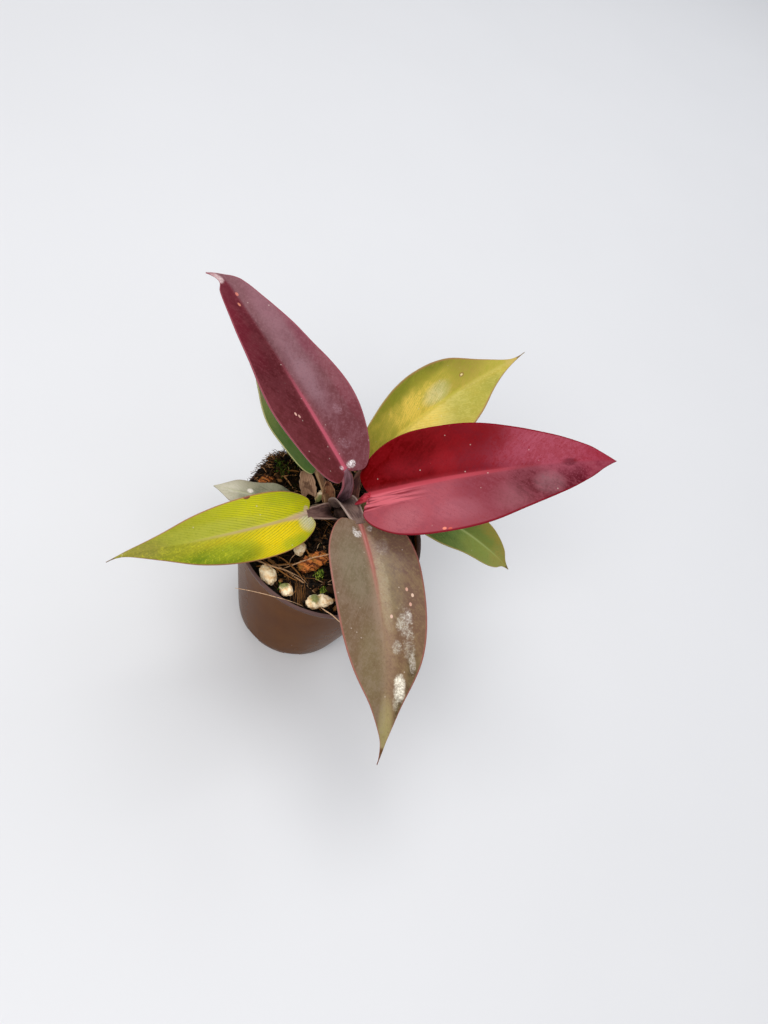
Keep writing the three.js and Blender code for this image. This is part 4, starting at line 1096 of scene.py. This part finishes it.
def stalk_mesh(leaf):
    """The stalk: a sheath rolled round its neighbours at the foot, a hollowed rod at the top."""
    joint, along_joint, _, up_joint = leaf["frames"][0]
    angle, height, spread = leaf["foot"]
    up_stem = (height - stem_foot.z) / (stem_tip.z - stem_foot.z)
    start = stem_foot.lerp(stem_tip, up_stem) + Vector((0, 0, pot_height))
    start += Vector((math.cos(math.radians(angle)), math.sin(math.radians(angle)), 0)) * spread
    out = joint - start
    out.z = 0
    out.normalize()
    turned_to = math.radians(leaf.get("facing", math.degrees(math.atan2(out.y, out.x))))
    away = Vector((math.cos(turned_to), math.sin(turned_to), 0))
    reach = (joint - start).length
    arrive = ((joint - start).normalized() + along_joint).normalized()
    end = joint - up_joint * 0.4
    leave_out, leave_up = leaf["leave"]
    first = start + out * (reach * leave_out) + Vector((0, 0, reach * leave_up))
    second = end - arrive * (reach * 0.4)
    foot_roll = 1 / max(spread, 5)

    def where(run, x, y):
        back = 1 - run
        line = start * back**3 + first * (3 * back**2 * run)
        line += second * (3 * back * run**2) + end * run**3
        along = (first - start) * back**2 + (second - first) * (2 * back * run)
        along += (end - second) * run**2
        along.normalize()
        outward = away.lerp(-up_joint, run)
        outward = (outward - along * outward.dot(along)).normalized()
        side = along.cross(outward)
        change = eased(0.25, 0.9, run)
        half = mixed(leaf["sheath"], leaf["stalk"], change) * mixed(1, 0.8, eased(0.84, 0.94, run))
        ridges = 0.07 * math.sin(9 * x + 2 * run) * (1 - abs(x))
        depth = mixed(0.9, 1.4, change) + ridges
        roll = mixed(foot_roll, 0.16, change)
        turn = x * half * roll
        lift = 1 / roll + y * depth
        point = line + side * (math.sin(turn) * lift)
        point += outward * (math.cos(turn) * lift - 1 / roll)
        return point, (run, x, (1 - y) / 2)

    return swept_rod(("run", "across", "lining"), 36, 48, where)


def stalk_finish(name, leaf):
    """A fleshy stalk: streaked along its length, pale at its edges, with painted shade inside the
    sheath.
    """
    skin, wire, place = new_finish(f"{name}_stalk_skin")
    run, across, lining = (laid_value(wire, key) for key in ("run", "across", "lining"))
    aside = wire.maths("ABSOLUTE", across)
    lay = wire.node("CombineXYZ", None, {0: across * 3, 1: run * 1.4, 2: lining})
    streaks = clouds(wire, lay, 3, 4)
    broad = clouds(wire, place, 160, 3)
    tint = (streaks + broad).rise(0.85, 1.12)
    tone = tint.over(pigment(leaf["stem_color"]), pigment(leaf["stem_tint"]))
    tone = (streaks.rise(0.46, 0.32) * 0.45).over(tone, pigment("2c1a18"))
    # Painted shade on the inside of the sheath towards its foot, deepest in the wide sheath of the
    # bronze leaf.
    sheath_shade = lining.rise(0.45, 0.9) * run.rise(0.75, 0.2) * aside.rise(0.9, 0.3)
    tone = (sheath_shade * (0.75 if leaf["sheath"] > 5 else 0.3)).over(tone, pigment("241a18"))
    tone = (aside.rise(0.84, 0.97) * 0.75).over(tone, pigment(leaf["stem_rim"]))
    lay_finish(
        skin,
        Base_Color=tone,
        Roughness=0.32 + streaks * 0.18,
        Normal=relief(wire, streaks + broad * 0.5, 0.00016),
        Specular_IOR_Level=0.35,
    )
    return skin


for name, leaf in leaves.items():
    leaf["frames"] = midrib_frames(leaf)
    stalk = set_out(f"{name}_stalk", stalk_mesh(leaf), stalk_finish(name, leaf), 50)
    plant_piece(stalk, f"petiole_{name}", f"petiole_{name}")
    blade = set_out(f"{name}_leaf", blade_mesh(leaf), leaf_finish(name, leaf))
    plant_piece(blade, f"blade_{name}", f"blade_{name}")

# Dry sheaths: the papery scales that wrapped young leaves, dried to tan and maroon, still
# standing in the mix beside the stem. They curl round their length and are split or frayed.
scales = [
    ("dry_sheath_tan", (-17, 9.2, 1.5), (-25.6, 19, 7.4), 9.5, 2.2, (0.25, -0.5, 0.83), 1,
     "98745c", "b89478", "5c4030"),
    ("dry_sheath_maroon", (-8.1, 12.9, 2.2), (-12.4, 15.8, 13.2), 7.8, 3, (0.35, -0.8, 0.5), 0,
     "702e1e", "b08864", "341410"),
]
for name, foot_spot, top_spot, width, bow, faced, forked, body, pale, dark in scales:
    lift = Vector((0, 0, pot_height))
    foot_spot, top_spot = Vector(foot_spot) + lift, Vector(top_spot) + lift
    along = (top_spot - foot_spot).normalized()
    face = Vector(faced)
    face = (face - along * face.dot(along)).normalized()
    side = along.cross(face)
    scale, layers, pairs, rims = twin_sheets(48, 60, ("run", "out"))
    for upper, lower in pairs:
        run, share = upper.co.y + 0.5, -2 * upper.co.x
        belly = math.sqrt(math.sin(math.pi * mixed(0.2, 0.97, run)))
        half = width / 2 * belly
        notch = forked * 2.6 * (1 - abs(share)) * (1 - run) ** 3
        curl = 1.2 * math.sin(3.2 * run + 1.5 * share)
        fray = 0.5 * eased(0.8, 1, abs(share)) * noise.noise(Vector((run * 9, share, width)))
        grain = 0.14 * math.sin(26 * share + 3 * run)
        point = foot_spot.lerp(top_spot, run) + along * notch
        point -= side * (share * (half * 0.86 + fray))
        point += face * (bow * share**2 * belly + 0.3 * curl + grain)
        slope = 2 * bow * share * belly / (half * 0.86)
        normal = (face + side * slope).normalized()
        for vert, depth in ((upper, 0.3), (lower, -0.3)):
            vert.co = point + normal * (depth * (1 - 0.5 * abs(share) ** 4))
            for layer, value in zip(layers, (run, share)):
                vert[layer] = value
    bmesh.ops.bridge_loops(scale, edges=rims)
    paper, wire, place = new_finish(f"papery_{name}")
    run, out = laid_value(wire, "run"), laid_value(wire, "out")
    veins = clouds(wire, wire.node("CombineXYZ", None, {0: out * 5, 1: run * 0.8}), 3.2, 3)
    tone = veins.rise(0.4, 0.62).over(pigment(body), pigment(pale))
    tone = (clouds(wire, place, 260, 3).rise(0.55, 0.68) * 0.7).over(tone, pigment(dark))
    tone = (wire.maths("ABSOLUTE", out).rise(0.82, 0.98) * 0.6).over(tone, pigment(pale))
    lay_finish(paper, Base_Color=tone, Roughness=0.7, Normal=relief(wire, veins, 0.00025))
    plant_piece(set_out(f"{name}_paper", scale, paper), name, name)
